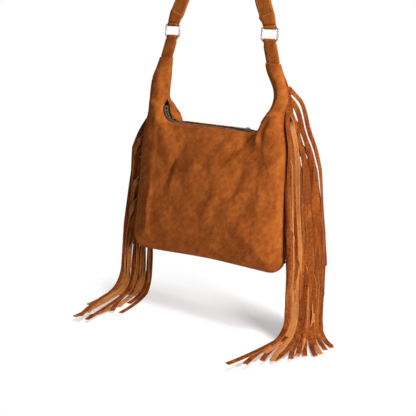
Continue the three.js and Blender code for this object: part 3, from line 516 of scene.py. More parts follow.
seam_line = np.concatenate([bottom_at(np.linspace(0, 1, 25)), point_at(side_seam, np.linspace(0, 1, 41))])
mouth_line = top_at(np.linspace(0, TO_MOUTH, 31))
mouth_line = np.concatenate([mouth_line, point_at(neck_seam, np.linspace(0, 1, 21))])


def distance_to(line, x, z):
    """Shortest distance from each point to a line of points."""
    best = np.full(np.shape(x), np.inf)
    for (ax, az), (bx, bz) in zip(line[:-1], line[1:]):
        dx, dz = bx - ax, bz - az
        t = np.clip(((x - ax) * dx + (z - az) * dz) / (dx * dx + dz * dz or 1), 0, 1)
        best = np.minimum(best, np.hypot(x - ax - dx * t, z - az - dz * t))
    return best


def from_seam(x, z):
    return distance_to(seam_line, np.abs(x), z)


def from_mouth(x, z):
    return distance_to(mouth_line, np.abs(x), z)


print("bottom half mm:", round(BOTTOM_LENGTH))

# %% [markdown]
# The bag hangs askew, as soft bags do: the right neck bows out, the left bottom corner drops, and folds
# run from the shoulders into the front. A fold is a ridge or a furrow along a line. Cloth simulation could
# make folds too, but listing them one by one puts them where they are on this bag, and costs no time.

# %% Fullness, folds and sag
SEAM_ROUND = 50
SEAM_EDGE = 8
MOUTH_SLOPE = 75
MOUTH_REACH = 60
MOUTH_TOP = 14
NECK_ROUND = 0.75
NECK_PINCH = 0.5
BODY_TO_NECK = (-15, 50)
FULL_SHARE = 0.74
SEAM_GAP = 0.15
LIP_RISE = 4
FRINGE_GAP = 1.52
FRINGE_TOP = 84
FRINGE_FROM = BOTTOM + 34
# Over and under the fringe, the gap that holds it closes between these two distances.
GAP_FROM = 6
GAP_TO = 16
# How much the left and right corner of the mouth puff out, on the front and on the back.
PUFF_SHARES = {-1: (0.2, 0.5), 1: (1.6, 0.3)}


def stand_off(x, z):
    """How far a panel's outer skin stands off the seam's plane."""
    off_seam, off_mouth = from_seam(x, z), from_mouth(x, z)
    edge = np.sqrt(SEAM_ROUND * (1 - np.exp(-off_seam / SEAM_ROUND)))
    full = (BAG_DEPTH - MOUTH_WIDTH) / 2 / (NECK_ROUND * math.sqrt(SEAM_ROUND) * FULL_SHARE)
    body = full * (1 - np.exp(-off_mouth / MOUTH_SLOPE))
    top = mix(body, np.sqrt(off_mouth), smooth(*BODY_TO_NECK, z))
    rounding = mix(NECK_ROUND, NECK_PINCH, smooth(NECK_HEIGHT * 0.65, NECK_HEIGHT, z))
    mouth = MOUTH_WIDTH / 2 * (1 - smooth(MOUTH_RISE, MOUTH_RISE + MOUTH_TOP, z))
    mouth = mouth * np.exp(-off_mouth / MOUTH_REACH)
    beside = smooth(FRINGE_FROM - GAP_TO, FRINGE_FROM - GAP_FROM, z)
    beside = beside * (1 - smooth(FRINGE_TOP + GAP_FROM, FRINGE_TOP + GAP_TO, z))
    gap = mix(SEAM_GAP, FRINGE_GAP, beside * smooth(MOUTH_END, MOUTH_END + 12, np.abs(x)))
    return gap + mouth * (1 - np.exp(-off_seam / SEAM_EDGE)) + rounding * edge * top


# Each fold: from x, z, to x, z, height (a furrow is negative) and half width.
FOLDS = [
    (104, 40, 16, -62, 6, 13),
    (96, 8, 52, -26, -4, 10),
    (-112, 22, -78, -60, 4, 15),
    (104, -96, 66, -176, -4, 14),
    (-70, -70, -86, -130, -3, 12),
    (20, -176, -10, -226, -3, 16),
]
FINE_FOLDS = [
    (96, 2, 26, -74, -2.4, 4.5),
    (118, 26, 106, -10, -3.4, 5),
    (112, 12, 98, -20, 2.4, 6),
    (-64, -70, -78, -108, -2.0, 5),
    (-40, -20, -60, -60, -1.6, 9),
    (-112, -120, -118, -190, 2.2, 7),
    (40, -100, 10, -170, 1.8, 12),
    (84, -60, 60, -120, -2.0, 9),
    (10, -30, -30, -90, 1.8, 14),
]


def fold_at(folds, x, z):
    total = np.zeros(np.shape(x))
    for x0, z0, x1, z1, height, width in folds:
        dx, dz = x1 - x0, z1 - z0
        t = np.clip(((x - x0) * dx + (z - z0) * dz) / (dx * dx + dz * dz), 0, 1)
        off = np.hypot(x - x0 - dx * t, z - z0 - dz * t) / width
        total += height * np.exp(-off * off) * np.sin(math.pi * mix(0.12, 0.88, t))
    return total


def puffed(x, y, z, facing):
    """The puffed corners of the mouth, where a panel rolls over beside the zip's ends."""
    left, right = PUFF_SHARES[facing]
    side = np.where(x < 0, -1, 1)
    off_mouth = from_mouth(x, z)
    corner = np.hypot(np.abs(x) - MOUTH_END, z - MOUTH_RISE / 3) / PUFF_REACH
    puff = np.where(side < 0, left, right) * np.exp(-corner * corner)
    puff = puff * smooth(0, 12, from_seam(x, z))
    near = off_mouth / PUFF_NEAR
    out = facing * PUFF_OUT * puff * (1 - np.exp(-off_mouth / 5))
    return x - side * PUFF_OVER * puff * near * np.exp(1 - near), y + out


def sagged(points):
    """The askew hang. What is sewn to the bag goes with it."""
    moved = np.array(points, float)
    x, z = moved[..., 0].copy(), moved[..., 2].copy()
    rise = np.clip((z - MOUTH_RISE / 2) / (NECK_HEIGHT - MOUTH_RISE / 2), 0, 1)
    inner = 1 - 0.7 * smooth(NECK_INNER, NECK_OUTER + NECK_SPREAD, x)
    moved[..., 0] += NECK_BOW * inner * np.sin(math.pi * rise) ** 2 * smooth(MOUTH_HALF / 2, MOUTH_END, x)
    left = 1 - smooth(-BOTTOM_WIDTH / 2, BOTTOM_WIDTH / 8, x)
    moved[..., 2] -= CORNER_SAG * (1 - smooth(BOTTOM, 0, z)) * left
    return moved


print("folds:", len(FOLDS) + len(FINE_FOLDS))

# %% [markdown]
# Each panel is two skins of the same suede, 2 mm thick together. The outer skin has dents from handling,
# made with noise, and the inner one is the outer moved inwards along its own direction. A rim joins them,
# so the panel is a closed sheet with a real edge, which shows along the mouth.

# %% Front and back panels
ROWS = 150
COLUMNS = 191
ROWS_CROWD = math.pi / 2 * 0.8
FOLD_DEPTH = 1.2
FINE_DEPTH = 2.3
DENT_DEPTH = 1.5
BACK_FOLDS = 0.6
SEAM_FADE = 26
MOUTH_FADE = 16
# A dent's size across and upwards, and how far the dents lean each way.
DENT_SIZE = (34, 46)
DENT_LEAN = (90, 120)
DENT_NOISE = (0.9, 2.1, 3)


def dents(x, z, seed):
    """Small hollows where the leather has been handled."""
    found = np.empty(np.shape(x))
    for k in np.ndindex(found.shape):
        across = x[k] / DENT_SIZE[0] + z[k] / DENT_LEAN[0]
        place = Vector((across, z[k] / DENT_SIZE[1] - x[k] / DENT_LEAN[1], seed))
        found[k] = noise.fractal(place, *DENT_NOISE)
    return found


def creases(x, z, facing):
    """The folds and dents, which fade out at the seams and the mouth."""
    fade = smooth(0, SEAM_FADE, from_seam(x, z))
    fade = fade * smooth(0, MOUTH_FADE, from_mouth(x, z))
    folds = FOLD_DEPTH * fold_at(FOLDS, -facing * x, z) + FINE_DEPTH * fold_at(FINE_FOLDS, -facing * x, z)
    share = 1 if facing < 0 else BACK_FOLDS
    return (share * folds + DENT_DEPTH * dents(x, z, facing * 5.0)) * fade


def panel(name, facing):
    rows = np.sin(np.linspace(-1, 1, ROWS) * ROWS_CROWD) / math.sin(ROWS_CROWD) / 2 + 0.5
    across, up = np.meshgrid(np.linspace(-1, 1, COLUMNS), rows)
    x, z = outline_at(across, up)
    y = stand_off(x, z) + creases(x, z, facing)
    if facing > 0:
        middle = 1 - smooth(MOUTH_HALF - 20, MOUTH_END, np.abs(x))
        z = z + LIP_RISE * middle * np.exp(-from_mouth(x, z) / 12)
    puffed_x, puffed_y = puffed(x, facing * y, z, facing)
    outer = np.stack([puffed_x, puffed_y, z], axis=-1)
    normal = np.cross(np.gradient(outer, axis=1), np.gradient(outer, axis=0))
    normal /= np.linalg.norm(normal, axis=-1, keepdims=True) + 1e-9
    normal *= np.where(normal[..., 1:2] * facing < 0, -1, 1)
    inner = outer - SUEDE * normal
    seam = np.zeros(x.shape, bool)
    seam[0, :] = seam[:, 0] = seam[:, -1] = True
    seam[-1, :] = np.abs(across[-1]) > TO_MOUTH
    inner[..., 1] = np.where(seam, outer[..., 1], facing * np.maximum(0.1, inner[..., 1] * facing))
    inner[-1, :, 2] = np.where(np.abs(across[-1]) >= TO_SEAM, outer[-1, :, 2], inner[-1, :, 2])
    points = sagged(np.concatenate([outer.reshape(-1, 3), inner.reshape(-1, 3)]))
    many = ROWS * COLUMNS
    last = many - COLUMNS
    front = grid_faces(ROWS, COLUMNS)
    back = grid_faces(ROWS, COLUMNS, many)[:, ::-1]
    rim = [*range(COLUMNS), *range(2 * COLUMNS - 1, many, COLUMNS)]
    rim += [*range(last + COLUMNS - 2, last - 1, -1), *range(last - COLUMNS, 0, -COLUMNS)]
    edge = [(a, a + many, b + many, b) for a, b in zip(rim, rim[1:] + rim[:1])]
    if facing > 0:
        front, back, edge = front[:, ::-1], back[:, ::-1], [face[::-1] for face in edge]
    made = make_piece(name, plain(points, [*front, *back, *edge]), [suede])
    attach(made, "bag")
    return made


front_skin = panel("front_skin", -1)
back_skin = panel("back_skin", 1)
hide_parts("front_panel")
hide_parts("back_panel")
print("panel faces:", len(front_skin.data.polygons), len(back_skin.data.polygons))

# %% [markdown]
# Strap, tabs, loops and fringe strands are all ribbons: a flat section carried along a line that turns and
# twists. One helper makes them all. It takes the line, the direction of the ribbon's width and of its face
# at each point, and gives a section with softly rounded edges, which a knife-cut leather strip has.


# %% Ribbons
# Where a section's rounded edge starts: a share of its half width, and one of its half thickness.
EDGE_IN = 0.97
EDGE_DOWN = 0.45


def ribbon(centres, wides, faces_out, half_width, half_thick, cup=0.0, steps=5):
    """A shape whose slot 0 is the face side, and whose slot 1 is the reverse and the cut edges."""
    flat = np.linspace(-EDGE_IN, EDGE_IN, steps)
    section = [(v, 1.0) for v in flat] + [(1.0, EDGE_DOWN), (1.0, -EDGE_DOWN)]
    section += [(v, -1.0) for v in flat[::-1]] + [(-1.0, -EDGE_DOWN), (-1.0, EDGE_DOWN)]
    section = np.array(section)
    n, m = len(centres), len(section)
    sizes = [np.broadcast_to(np.asarray(v, float), (n,)) for v in (half_width, half_thick, cup)]
    half_width, half_thick, cup = (size[:, None, None] for size in sizes)
    off_a = section[None, :, 0:1] * half_width
    off_b = section[None, :, 1:2] * half_thick - cup * section[None, :, 0:1] ** 2
    points = centres[:, None, :] + wides[:, None, :] * off_a + faces_out[:, None, :] * off_b
    slots = [0 if k % m < steps - 1 else 1 for k in range((n - 1) * m)]
    return points.reshape(-1, 3), tube_faces(n, m), slots + [1, 1]


def unit(vectors):
    return vectors / (np.linalg.norm(vectors, axis=-1, keepdims=True) + 1e-12)


def frames(centres, wide_hint):
    """Directions across and out for each point of a line, from a hint for across."""
    along = unit(np.gradient(centres, axis=0))
    wide = unit(wide_hint - along * np.sum(wide_hint * along, axis=-1, keepdims=True))
    return wide, np.cross(along, wide)


print("ribbon helper ready")

# %% [markdown]
# A stitch is a short, plump length of thread that dips into the leather at both ends. A row of them is
# made as one mesh: a small spindle repeated along a line at the machine's stitch length, 4 mm.

# %% Stitches
STITCH_PITCH = 4.0
STITCH_LENGTH = 2.9
STITCH_DIP = 1.2
THREAD = 0.8
SPINDLE = np.array([0.35, 0.9, 1.0, 0.9, 0.35])[:, None] * THREAD / 2


def stitch_row(line, out):
    """Spindles along a line of points, lying on the face whose direction is out."""
    gone = distances(line)
    shapes = []
    for k in range(int(gone[-1] // STITCH_PITCH)):
        s = (k + 0.15) * STITCH_PITCH + np.linspace(0, 1, 5) * STITCH_LENGTH
        centre = read_along(gone, line, s)
        up = unit(read_along(gone, out, s))
        side = np.cross(unit(np.gradient(centre, axis=0)), up)
        centre = centre + up * (SPINDLE - THREAD / 2) * STITCH_DIP
        around = np.arange(6) * math.pi / 3
        rings = [centre + SPINDLE * (side * math.cos(b) + up * math.sin(b)) for b in around]
        shapes.append(plain(np.stack(rings, axis=1).reshape(-1, 3), tube_faces(5, 6)))
    return shapes


print("stitches per 100 mm:", round(100 / STITCH_PITCH))

# %% [markdown]
# The strap is a band of suede folded on itself and stitched along both edges. It stands broad side out at
# the rings and makes a quarter turn on its way up, so that it lies flat over whatever carries it.
# One leg's line is worked out, and the other is its mirror image.

# %% Strap line
RING_SPACING = 198
RING_INNER = 26.5
RING_PITCH = 22
RING_X = RING_SPACING / 2
WIRE = 3.2
TAB_LENGTH = 38
TAB_WIDTH = 24
TAB_TUCK = 12
TUCK_HALF = 10.5
LOOP_SUEDE = 1.6
BORE = WIRE / 2 + 0.4
STRAP_WIDTH = 28
STRAP_THICKNESS = 3.2
STRAP_FOLD = 22
FLAP = 1.1
TWIST_FROM = 60
CROWN_RADIUS = 34
CROWN_FLAT = 16
RING_CORNER = 4
BAR_PLAY = 0.3
BAR_HALF = RING_INNER / 2 + WIRE / 2 - RING_CORNER - BAR_PLAY
LEG_FROM = 5
LOWER_BAR = NECK_HEIGHT + TAB_LENGTH
UPPER_BAR = LOWER_BAR + RING_PITCH


def strap_leg():
    """The right leg's line, from the ring to the crown: place, width and face directions, half width."""
    radius = CROWN_RADIUS + STRAP_THICKNESS / 2
    centre = np.array([CROWN_FLAT / 2, 0, STRAP_DROP - CROWN_RADIUS])
    ring = np.array([RING_X, 0, UPPER_BAR])
    reach = ring - centre
    distance = math.hypot(*reach)
    leg = math.sqrt(distance**2 - radius**2)
    lean = math.atan2(reach[0], -reach[2]) - math.asin(radius / distance)
    s = np.linspace(LEG_FROM, leg, 90)
    squared = smooth(LEG_FROM, STRAP_FOLD, s)[:, None]
    turn = (smooth(TWIST_FROM, leg, s) * math.pi / 2)[:, None]
    flat = unit(mix(np.array([1.0, 0, 0]), np.array([math.cos(lean), 0, math.sin(lean)]), squared))
    front = np.array([0, -1.0, 0])
    centres = ring + np.array([-math.sin(lean), 0, math.cos(lean)]) * s[:, None]
    angle = np.linspace(lean, math.pi / 2, 24)[1:]
    arc_out = np.stack([np.cos(angle), 0 * angle, np.sin(angle)], axis=1)
    flat_top = centre + np.array([[x - centre[0], 0, radius] for x in (6, 4, 2, 0)])
    rest = len(arc_out) + len(flat_top)
    widths = mix(TAB_WIDTH, STRAP_WIDTH, squared[:, 0]) / 2
    return (
        np.concatenate([centres, centre + arc_out * radius, flat_top]),
        np.concatenate([flat * np.cos(turn) - front * np.sin(turn), np.tile([0, 1.0, 0], (rest, 1))]),
        np.concatenate([front * np.cos(turn) + flat * np.sin(turn), arc_out, np.tile([0, 0, 1.0], (4, 1))]),
        np.concatenate([widths, np.full(rest, STRAP_WIDTH / 2)]),
    )


leg_line = strap_leg()
print("strap leg mm:", round(distances(leg_line[0])[-1]))

# %% [markdown]
# Strap and tabs go round the rings in the same way: a thin band passes round a bar and lies back on itself,
# narrower at the bar, where the ring's corners leave less room. On the strap a flap of suede covers the
# turned end, and one row of stitches across holds it. Rows of stitches run along both edges, on each face.


# %% Strap, its turned ends and its stitching
# Away from a bar, a band starts to narrow at the first distance, and is narrowest from the second one on.
BAR_NARROWS = (8, 3)
TUCK_EASE = 3
LOOP_PLAY = 0.03
EDGE_WAVE = 0.25
FLAP_OVER = 0.2
EDGE_INSET = 2.6
ACROSS_INSET = 2.4


def turned_end(x, bar, upwards, length, half_width, lean=0.0, tuck=None):
    """A band that goes round a ring's bar at x and lies back on itself: up for the strap, down for a tab."""
    gap = LOOP_SUEDE / 2
    radius = BORE + gap
    meet = math.asin(min(1, gap / radius))
    sign = 1 if upwards else -1
    angles = -sign * np.linspace(-meet, math.pi + meet, 25)
    arc = np.stack([0 * angles, -radius * np.cos(angles), radius * np.sin(angles)], axis=1)
    tail = sign * mix(radius * math.cos(meet), length, np.linspace(1, 0, 30)[:-1])
    front = np.stack([0 * tail, np.full(len(tail), -gap), tail], axis=1)
    line = np.concatenate([front, arc, front[::-1] * np.array([1, -1, 1])])
    line[:, 0] += lean * np.maximum(0, sign * line[:, 2])
    widths = mix(half_width, min(half_width, BAR_HALF), smooth(*BAR_NARROWS, np.abs(line[:, 2])))
    if tuck:
        widths = mix(widths, tuck[1], smooth(tuck[0], tuck[0] + TUCK_EASE, sign * line[:, 2]))
    wide, out = frames(line, np.tile([1.0, 0, 0], (len(line), 1)))
    return ribbon(line + np.array([x, 0, bar]), wide, sign * out, widths, LOOP_SUEDE / 2 - LOOP_PLAY)


def strap():
    centres, wides, outs, widths = leg_line
    wave = EDGE_WAVE * np.sin(np.arange(len(centres)) * 0.35)
    both = [np.concatenate([part, (part * MIRROR)[::-1][1:]]) for part in (centres, wides, outs)]
    halves = np.concatenate([widths + wave, (widths - wave)[::-1][1:]])
    rise = centres[5] - centres[0]
    end = turned_end(RING_X, UPPER_BAR, True, STRAP_FOLD, TAB_WIDTH / 2, lean=rise[0] / rise[2])
    kept = centres[:, 2] - UPPER_BAR < STRAP_FOLD
    flap = centres[kept] + outs[kept] * (STRAP_THICKNESS + FLAP) / 2
    flap = ribbon(flap, wides[kept], outs[kept], widths[kept] + FLAP_OVER, FLAP / 2)
    shapes = [ribbon(*both, halves, STRAP_THICKNESS / 2, steps=9)]
    shapes += [on_side(side, shape) for side in (-1, 1) for shape in (end, flap)]
    made = make_piece("strap_skin", join_shapes(shapes), [strap_suede])
    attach(made, "strap")
    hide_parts("strap")
    return made


def strap_stitches():
    centres, wides, outs, widths = leg_line
    end = int(np.argmax(centres[:, 2] - UPPER_BAR > STRAP_FOLD - 3))
    across = np.linspace(-1, 1, 9)[:, None] * (widths[end] - ACROSS_INSET)
    seam = centres[end] + wides[end] * across + outs[end] * (STRAP_THICKNESS / 2 + FLAP)
    stitches = stitch_row(seam, np.tile(outs[end], (9, 1)))
    for face, edge in ((-1, -1), (-1, 1), (1, -1), (1, 1)):
        inset = widths[:, None] - EDGE_INSET
        line = centres + wides * (edge * inset) + outs * (face * STRAP_THICKNESS / 2)
        stitches += stitch_row(line[4:], outs[4:] * face)
    both = join_shapes([on_side(side, stitch) for stitch in stitches for side in (1, -1)])
    made = make_piece("strap_stitches", both, [thread])
    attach(made, "strap")
    return made


strap_skin = strap()
strap_thread = strap_stitches()
print("strap faces:", len(strap_skin.data.polygons), "stitch faces:", len(strap_thread.data.polygons))

# %% [markdown]
# Each neck ends in a tab: a strip of the same suede that goes round the ring's lower bar, with both ends
# sewn into the neck.


# %% Tabs
def tab(side):
    band = turned_end(
        side * RING_X,
        LOWER_BAR,
        False,
        TAB_LENGTH + TAB_TUCK,
        TAB_WIDTH / 2,
        lean=side * (NECK_X - RING_X) / TAB_LENGTH,
        tuck=(TAB_LENGTH + 0.5, TUCK_HALF),
    )
    name = SIDE_NAMES[side]
    made = make_piece(f"tab_skin_{name}", band, [strap_suede])
    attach(made, "bag")
    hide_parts(f"tab_{name}")
    return made


tabs = [tab(-1), tab(1)]
print("tab faces:", len(tabs[0].data.polygons))

# %% [markdown]
# The rings are one length of round wire each. A circle carried round a rounded rectangle gives them, with
# enough steps in the corners for a clean highlight.

# %% Rings
CORNER_STEPS = 10
WIRE_STEPS = 20


def wire_ring(side):
    half = np.array([RING_INNER / 2 + WIRE / 2, RING_PITCH / 2]) - RING_CORNER
    line, outs = [], []
    for sx, sz, quarter in ((1, 1, 0), (-1, 1, 1), (-1, -1, 2), (1, -1, 3)):
        for a in (quarter + np.linspace(0, 1, CORNER_STEPS)) * math.pi / 2:
            out = np.array([math.cos(a), 0, math.sin(a)])
            line.append(np.array([sx * half[0], 0, sz * half[1]]) + out * RING_CORNER)
            outs.append(out)
    line, outs = np.array(line), np.array(outs)
    around = np.arange(WIRE_STEPS) * 2 * math.pi / WIRE_STEPS
    rounds = [line + WIRE / 2 * (outs * math.cos(b) + np.array([0, math.sin(b), 0])) for b in around]
    middle = np.array([side * RING_X, 0, LOWER_BAR + RING_PITCH / 2])
    points = np.stack(rounds, axis=1).reshape(-1, 3) + middle
    faces = grid_faces(len(line) + 1, WIRE_STEPS, closed=True) % len(points)
    name = SIDE_NAMES[side]
    made = make_piece(f"wire_ring_{name}", plain(points, faces), [nickel])
    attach(made, f"ring_{name}")
    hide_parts(f"ring_{name}")
    return made


rings = [wire_ring(-1), wire_ring(1)]
print("ring faces:", len(rings[0].data.polygons))

# %% [markdown]
# The zip is three things: a woven tape sewn behind each panel's edge, a cord along its edge, and metal
# teeth clamped on the cord. The tape and the cord are sections carried along the zip's line. Each tooth is
# a small block with chamfered edges, set so that the two rows come close at the middle.

# %% Zip tapes and teeth
PARTING = 1.4
TOOTH_PITCH = 5
TOOTH_LENGTH = 2.5
TOOTH_WIDTH = 2.8
TOOTH_HEIGHT = 2
BEAD = 1
TAPE = 0.8
TAPE_LEG = 11
STOP_LENGTH = 4
ROW_INNER = PARTING / 2
ROW_OUTER = ROW_INNER + TOOTH_LENGTH + BEAD
TAPE_OUTER = MOUTH_WIDTH / 2 - SUEDE - 0.3
TAPE_INNER = ROW_OUTER + 0.05
TOOTH_SIZE = (TOOTH_WIDTH, TOOTH_LENGTH + BEAD / 2, TOOTH_HEIGHT * 0.8)
TOOTH_CHAMFER = 0.35
CORD_RISE = 0.8
STOP_PLAY = 0.3
ZIP_STEPS = 120


def along_zip(section, start, end, steps):
    """A closed section of (y, height) points carried along the zip's line."""
    x, z, angle = zip_at(np.linspace(start, end, steps))
    rows = []
    for y, h in section:
        rows.append(np.stack([x - h * np.sin(angle), np.full(steps, y), z + h * np.cos(angle)], axis=1))
    return plain(sagged(np.stack(rows, axis=1).reshape(-1, 3)), tube_faces(steps, len(section)))


def chamfered_block(size, chamfer):
    """Points and faces of a block whose twelve edges are cut back, centred on the origin."""
    half = np.array(size) / 2
    form = bmesh.new()
    for sign in np.ndindex(2, 2, 2):
        s = np.array(sign) * 2 - 1
        for axis in range(3):
            p = s * (half - chamfer)
            p[axis] = s[axis] * half[axis]
            form.verts.new(p.tolist())
    bmesh.ops.convex_hull(form, input=form.verts)
    bmesh.ops.dissolve_limit(form, angle_limit=0.01, verts=form.verts, edges=form.edges)
    form.verts.index_update()
    made = np.array([v.co[:] for v in form.verts]), [tuple(v.index for v in f.verts) for f in form.faces]
    form.free()
    return made


def zip_side(facing, name):
    leg = TAPE_OUTER - TAPE
    section = [(TAPE_INNER, TAPE / 2), (TAPE_INNER, -TAPE / 2), (leg, -TAPE / 2)]
    section += [(leg, -TAPE_LEG), (TAPE_OUTER, -TAPE_LEG), (TAPE_OUTER, TAPE / 2)]
    woven = along_zip([(facing * y, h) for y, h in section], -ZIP_HALF, ZIP_HALF, ZIP_STEPS)
    tape = make_piece(f"tape_{name}", woven, [tape_weave], flat=True)
    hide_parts(f"zip_tape_{name}")
    end = ZIP_HALF - STOP_LENGTH - STOP_PLAY
    around = np.arange(10) * math.pi / 5
    cord = [(facing * (ROW_OUTER - BEAD / 2 * (1 - math.cos(b))), CORD_RISE * math.sin(b)) for b in around]
    shapes = [along_zip(cord, -end, end, ZIP_STEPS)]
    count = int(2 * end // TOOTH_PITCH)
    form, form_faces = chamfered_block(TOOTH_SIZE, TOOTH_CHAMFER)
    for k in range(count):
        x, z, angle = zip_at((k + 0.5 - count / 2) * TOOTH_PITCH)
        c, s = math.cos(angle), math.sin(angle)
        turned = form @ np.array([[c, 0, s], [0, 1, 0], [-s, 0, c]])
        turned += np.array([float(x), facing * (ROW_INNER + TOOTH_SIZE[1] / 2), float(z)])
        shapes.append(plain(sagged(turned), form_faces))
    teeth = make_piece(f"teeth_{name}", join_shapes(shapes), [brass], flat=True)
    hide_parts(f"zip_teeth_{name}")
    for made in (tape, teeth):
        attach(made, "bag")
    return tape, teeth


zip_pieces = [zip_side(-1, "front"), zip_side(1, "back")]
print("teeth faces a side:", len(zip_pieces[0][1].data.polygons))

# %% [markdown]
# The slider, its pull and the two end stops keep their solids. A bevel rounds their edges as a casting's
# are, and they share the teeth's brass.

# %% Slider, pull and stops
CAST_ROUND = 0.25

for name in ("zip_slider", "zip_pull", "zip_stop_left", "zip_stop_right"):
    casting = nodes[name]
    casting.data.materials.clear()
    casting.data.materials.append(brass)
    edges = casting.modifiers.new("cast_edges", "BEVEL")
    edges.width = CAST_ROUND * MM
    edges.segments = 2
    edges.limit_method = "ANGLE"
print("castings share", brass.name)

# %% [markdown]
# The fringe is one band of suede, 33 cm deep, sewn by its edge into the side seam and cut into strands.
# Each strand leaves the seam edge on, arches over the bag's side, finds its place in the hanging bundle,
# and where it is long enough it turns onto the floor and trails. Hair or cloth simulation could hang the
# strands, but lines worked out one by one keep each strand's true length and let its pale reverse show
# where it should.

# %% Strand lines
FRINGE_LENGTH = 332
UNEVEN = 0.045
STRAND_WIDTH = 9.0
STRAND_THICKNESS = 1.3
HEADER_THICKNESS = 1.6
HEADER_DEPTH = 8
HEADER_PROUD = 2.6
STRANDS = 33
FRINGE_LAYERS = 7
LANE_PLAY = 0.1
SWEEP_RADIUS = 40
TWIST_LENGTH = 14
PILE_GAP = 0.4
PILE_PRESS = 0.6
STEP = 2
SEWN_PLAY = 0.2
TURN_PLAY = 0.1
TOP_TURN = 0.16
CURL = 0.009
ARCH = (15, 34)
# How much of a right strand may lie on the floor, at the bundle's front edge and at its back edge.
FLOOR_REACH = (188, 72)
# How the ends fan out: the front strands' direction, and what each strand's lane and its square add.
FAN = {1: (-0.18, 0.58, 0.6), -1: (-0.05, -0.23, 0.0)}
LANE_CROWD = {1: 1, -1: 1.4}
# Places in the bundle, from -1 at its front edge to 1 at its back edge, taken in turn down the seam.
LANES = [0.97, -0.89, 0.44, -0.44, 0.0, 0.72, -0.67, 0.22, -0.22, 0.9, 0.55, -0.8, 0.1, -0.55]
# Where the bundle's front and back edges hang: at a height, how far out from the seam and how far back.
FRONT_EDGE = {
    1: [(FLOOR, 20, -14), (BOTTOM, 13, -12), (-60, 4, -12), (40, 4, -8), (FRINGE_TOP, 3, 0)],
    -1: [
        (FLOOR, 34, 0),
        (-170, 28, 0),
        (-60, 25, 0),
        (-30, 15, 2),
        (0, 5, 8),
        (30, 4, 10),
        (FRINGE_TOP, 3, 8),
    ],
}
BACK_EDGE = {
    1: [(FLOOR, 66, 58), (-170, 54, 58), (-60, 40, 52), (0, 28, 42), (60, 24, 26), (FRINGE_TOP, 18, 10)],
    -1: [(FLOOR, 8, 58), (-170, 5, 52), (-60, 4, 45), (30, 4, 26), (FRINGE_TOP, 3, 12)],
}
dense_seam = point_at(side_seam, np.linspace(0, 1, 201))
fringed = dense_seam[(dense_seam[:, 1] >= FRINGE_FROM) & (dense_seam[:, 1] <= FRINGE_TOP)]
seam_gone = distances(fringed)
SEAM_LENGTH = float(seam_gone[-1])


def seam_at(share):
    """Point and outward direction on the fringed seam, at a share of its length from its top."""
    at = (1 - share) * SEAM_LENGTH
    i = int(np.clip(np.searchsorted(seam_gone, at), 1, len(fringed) - 1))
    t = (at - seam_gone[i - 1]) / (seam_gone[i] - seam_gone[i - 1])
    d = unit(fringed[i] - fringed[i - 1])
    return mix(fringed[i - 1], fringed[i], t), np.array([d[1], -d[0]])


def on_edge(edge, height):
    """How far out and back an edge of the bundle hangs at a height."""
    heights, outs, backs = zip(*edge)
    return np.array([np.interp(height, heights, outs), np.interp(height, heights, backs)])


def play(n, amount):
    """A fixed number for each n, up to half the amount either way."""
    return (chance(n) - 0.5) * amount


def strand_line(i, side):
    """A strand's middle line, drawn for the right side, the direction that it trails in, and its lane."""
    share = (i + 0.5 + play(i * 17 + side, SEWN_PLAY)) / STRANDS
    root, out = seam_at(share)
    strayed = LANES[i % len(LANES)] + play(i * 3 + side, LANE_PLAY)
    lane = float(np.clip((strayed + 1) / 2, 0, 1)) ** LANE_CROWD[side]
    laid = mix(*FLOOR_REACH, lane) * mix(0.82, 1, chance(i * 43 + side))
    ahead, spread, open_up = FAN[side]
    turn = ahead + spread * lane + open_up * lane * lane
    turn += TOP_TURN * (0.5 - share) + play(i * 5 + 2 * side, TURN_PLAY)
    sweep = np.array([math.sin(turn), -math.cos(turn), 0])
    below = sum(other > LANES[i % len(LANES)] for other in LANES)
    rest = FLOOR + STRAND_THICKNESS / 2 + below * (STRAND_THICKNESS + PILE_GAP) * PILE_PRESS
    radius = SWEEP_RADIUS * mix(0.8, 1.2, chance(i * 7 + side))
    length = FRINGE_LENGTH * mix(1 - UNEVEN, 1 + UNEVEN, chance(i * 11 + side))
    sewn = sagged(np.array([side * root[0], 0, root[1]]))
    reach = mix(*ARCH, share)

    def at(drop):
        height = sewn[2] + out[1] * HEADER_PROUD - drop
        seam_x = np.interp(height, side_seam[:, 1], side_seam[:, 0])
        hang = mix(on_edge(FRONT_EDGE[side], height), on_edge(BACK_EDGE[side], height), lane)
        settled = 1 - math.exp(-drop / reach)
        start = side * sewn[0] + out[0] * (HEADER_PROUD - 0.6)
        x = mix(start, seam_x + hang[0] - FRINGE_LAYERS * share * lane, settled)
        return np.array([x, hang[1] * settled, height])

    points = [at(0) - 2 * np.array([out[0], 0, out[1]]), at(0)]
    used, drop = 2.0, 0
    while used < length and points[-1][2] - STEP > rest + radius:
        drop += STEP
        points.append(at(drop))
        used += np.linalg.norm(points[-1] - points[-2])
    turn_from = points[-1]
    if side > 0:
        length = min(length, used + laid)
    a = STEP / radius
    while used < length and a <= math.pi / 2:
        down = np.array([0, 0, -(turn_from[2] - rest) * math.sin(a)])
        points.append(turn_from + sweep * radius * (1 - math.cos(a)) + down)
        used += STEP
        a += STEP / radius
    turns = [turn] * len(points)
    curl = mix(-CURL, CURL, chance(i * 37 + side))
    while used < length:
        turns.append(turns[-1] + curl)
        points.append(points[-1] + STEP * np.array([math.sin(turns[-1]), -math.cos(turns[-1]), 0]))
        used += STEP
    return np.array(points), np.array(turns), lane


print("fringed seam mm:", round(SEAM_LENGTH), "strands a side:", STRANDS)

# %% [markdown]
# In the hanging bundle the strands lie like staves round a barrel, so each one's face turns with its place
# round the bundle. Every strand is a little cupped across its width and waves gently, because suede takes
# a set from being folded away. Some strands have turned over and show the pale reverse.

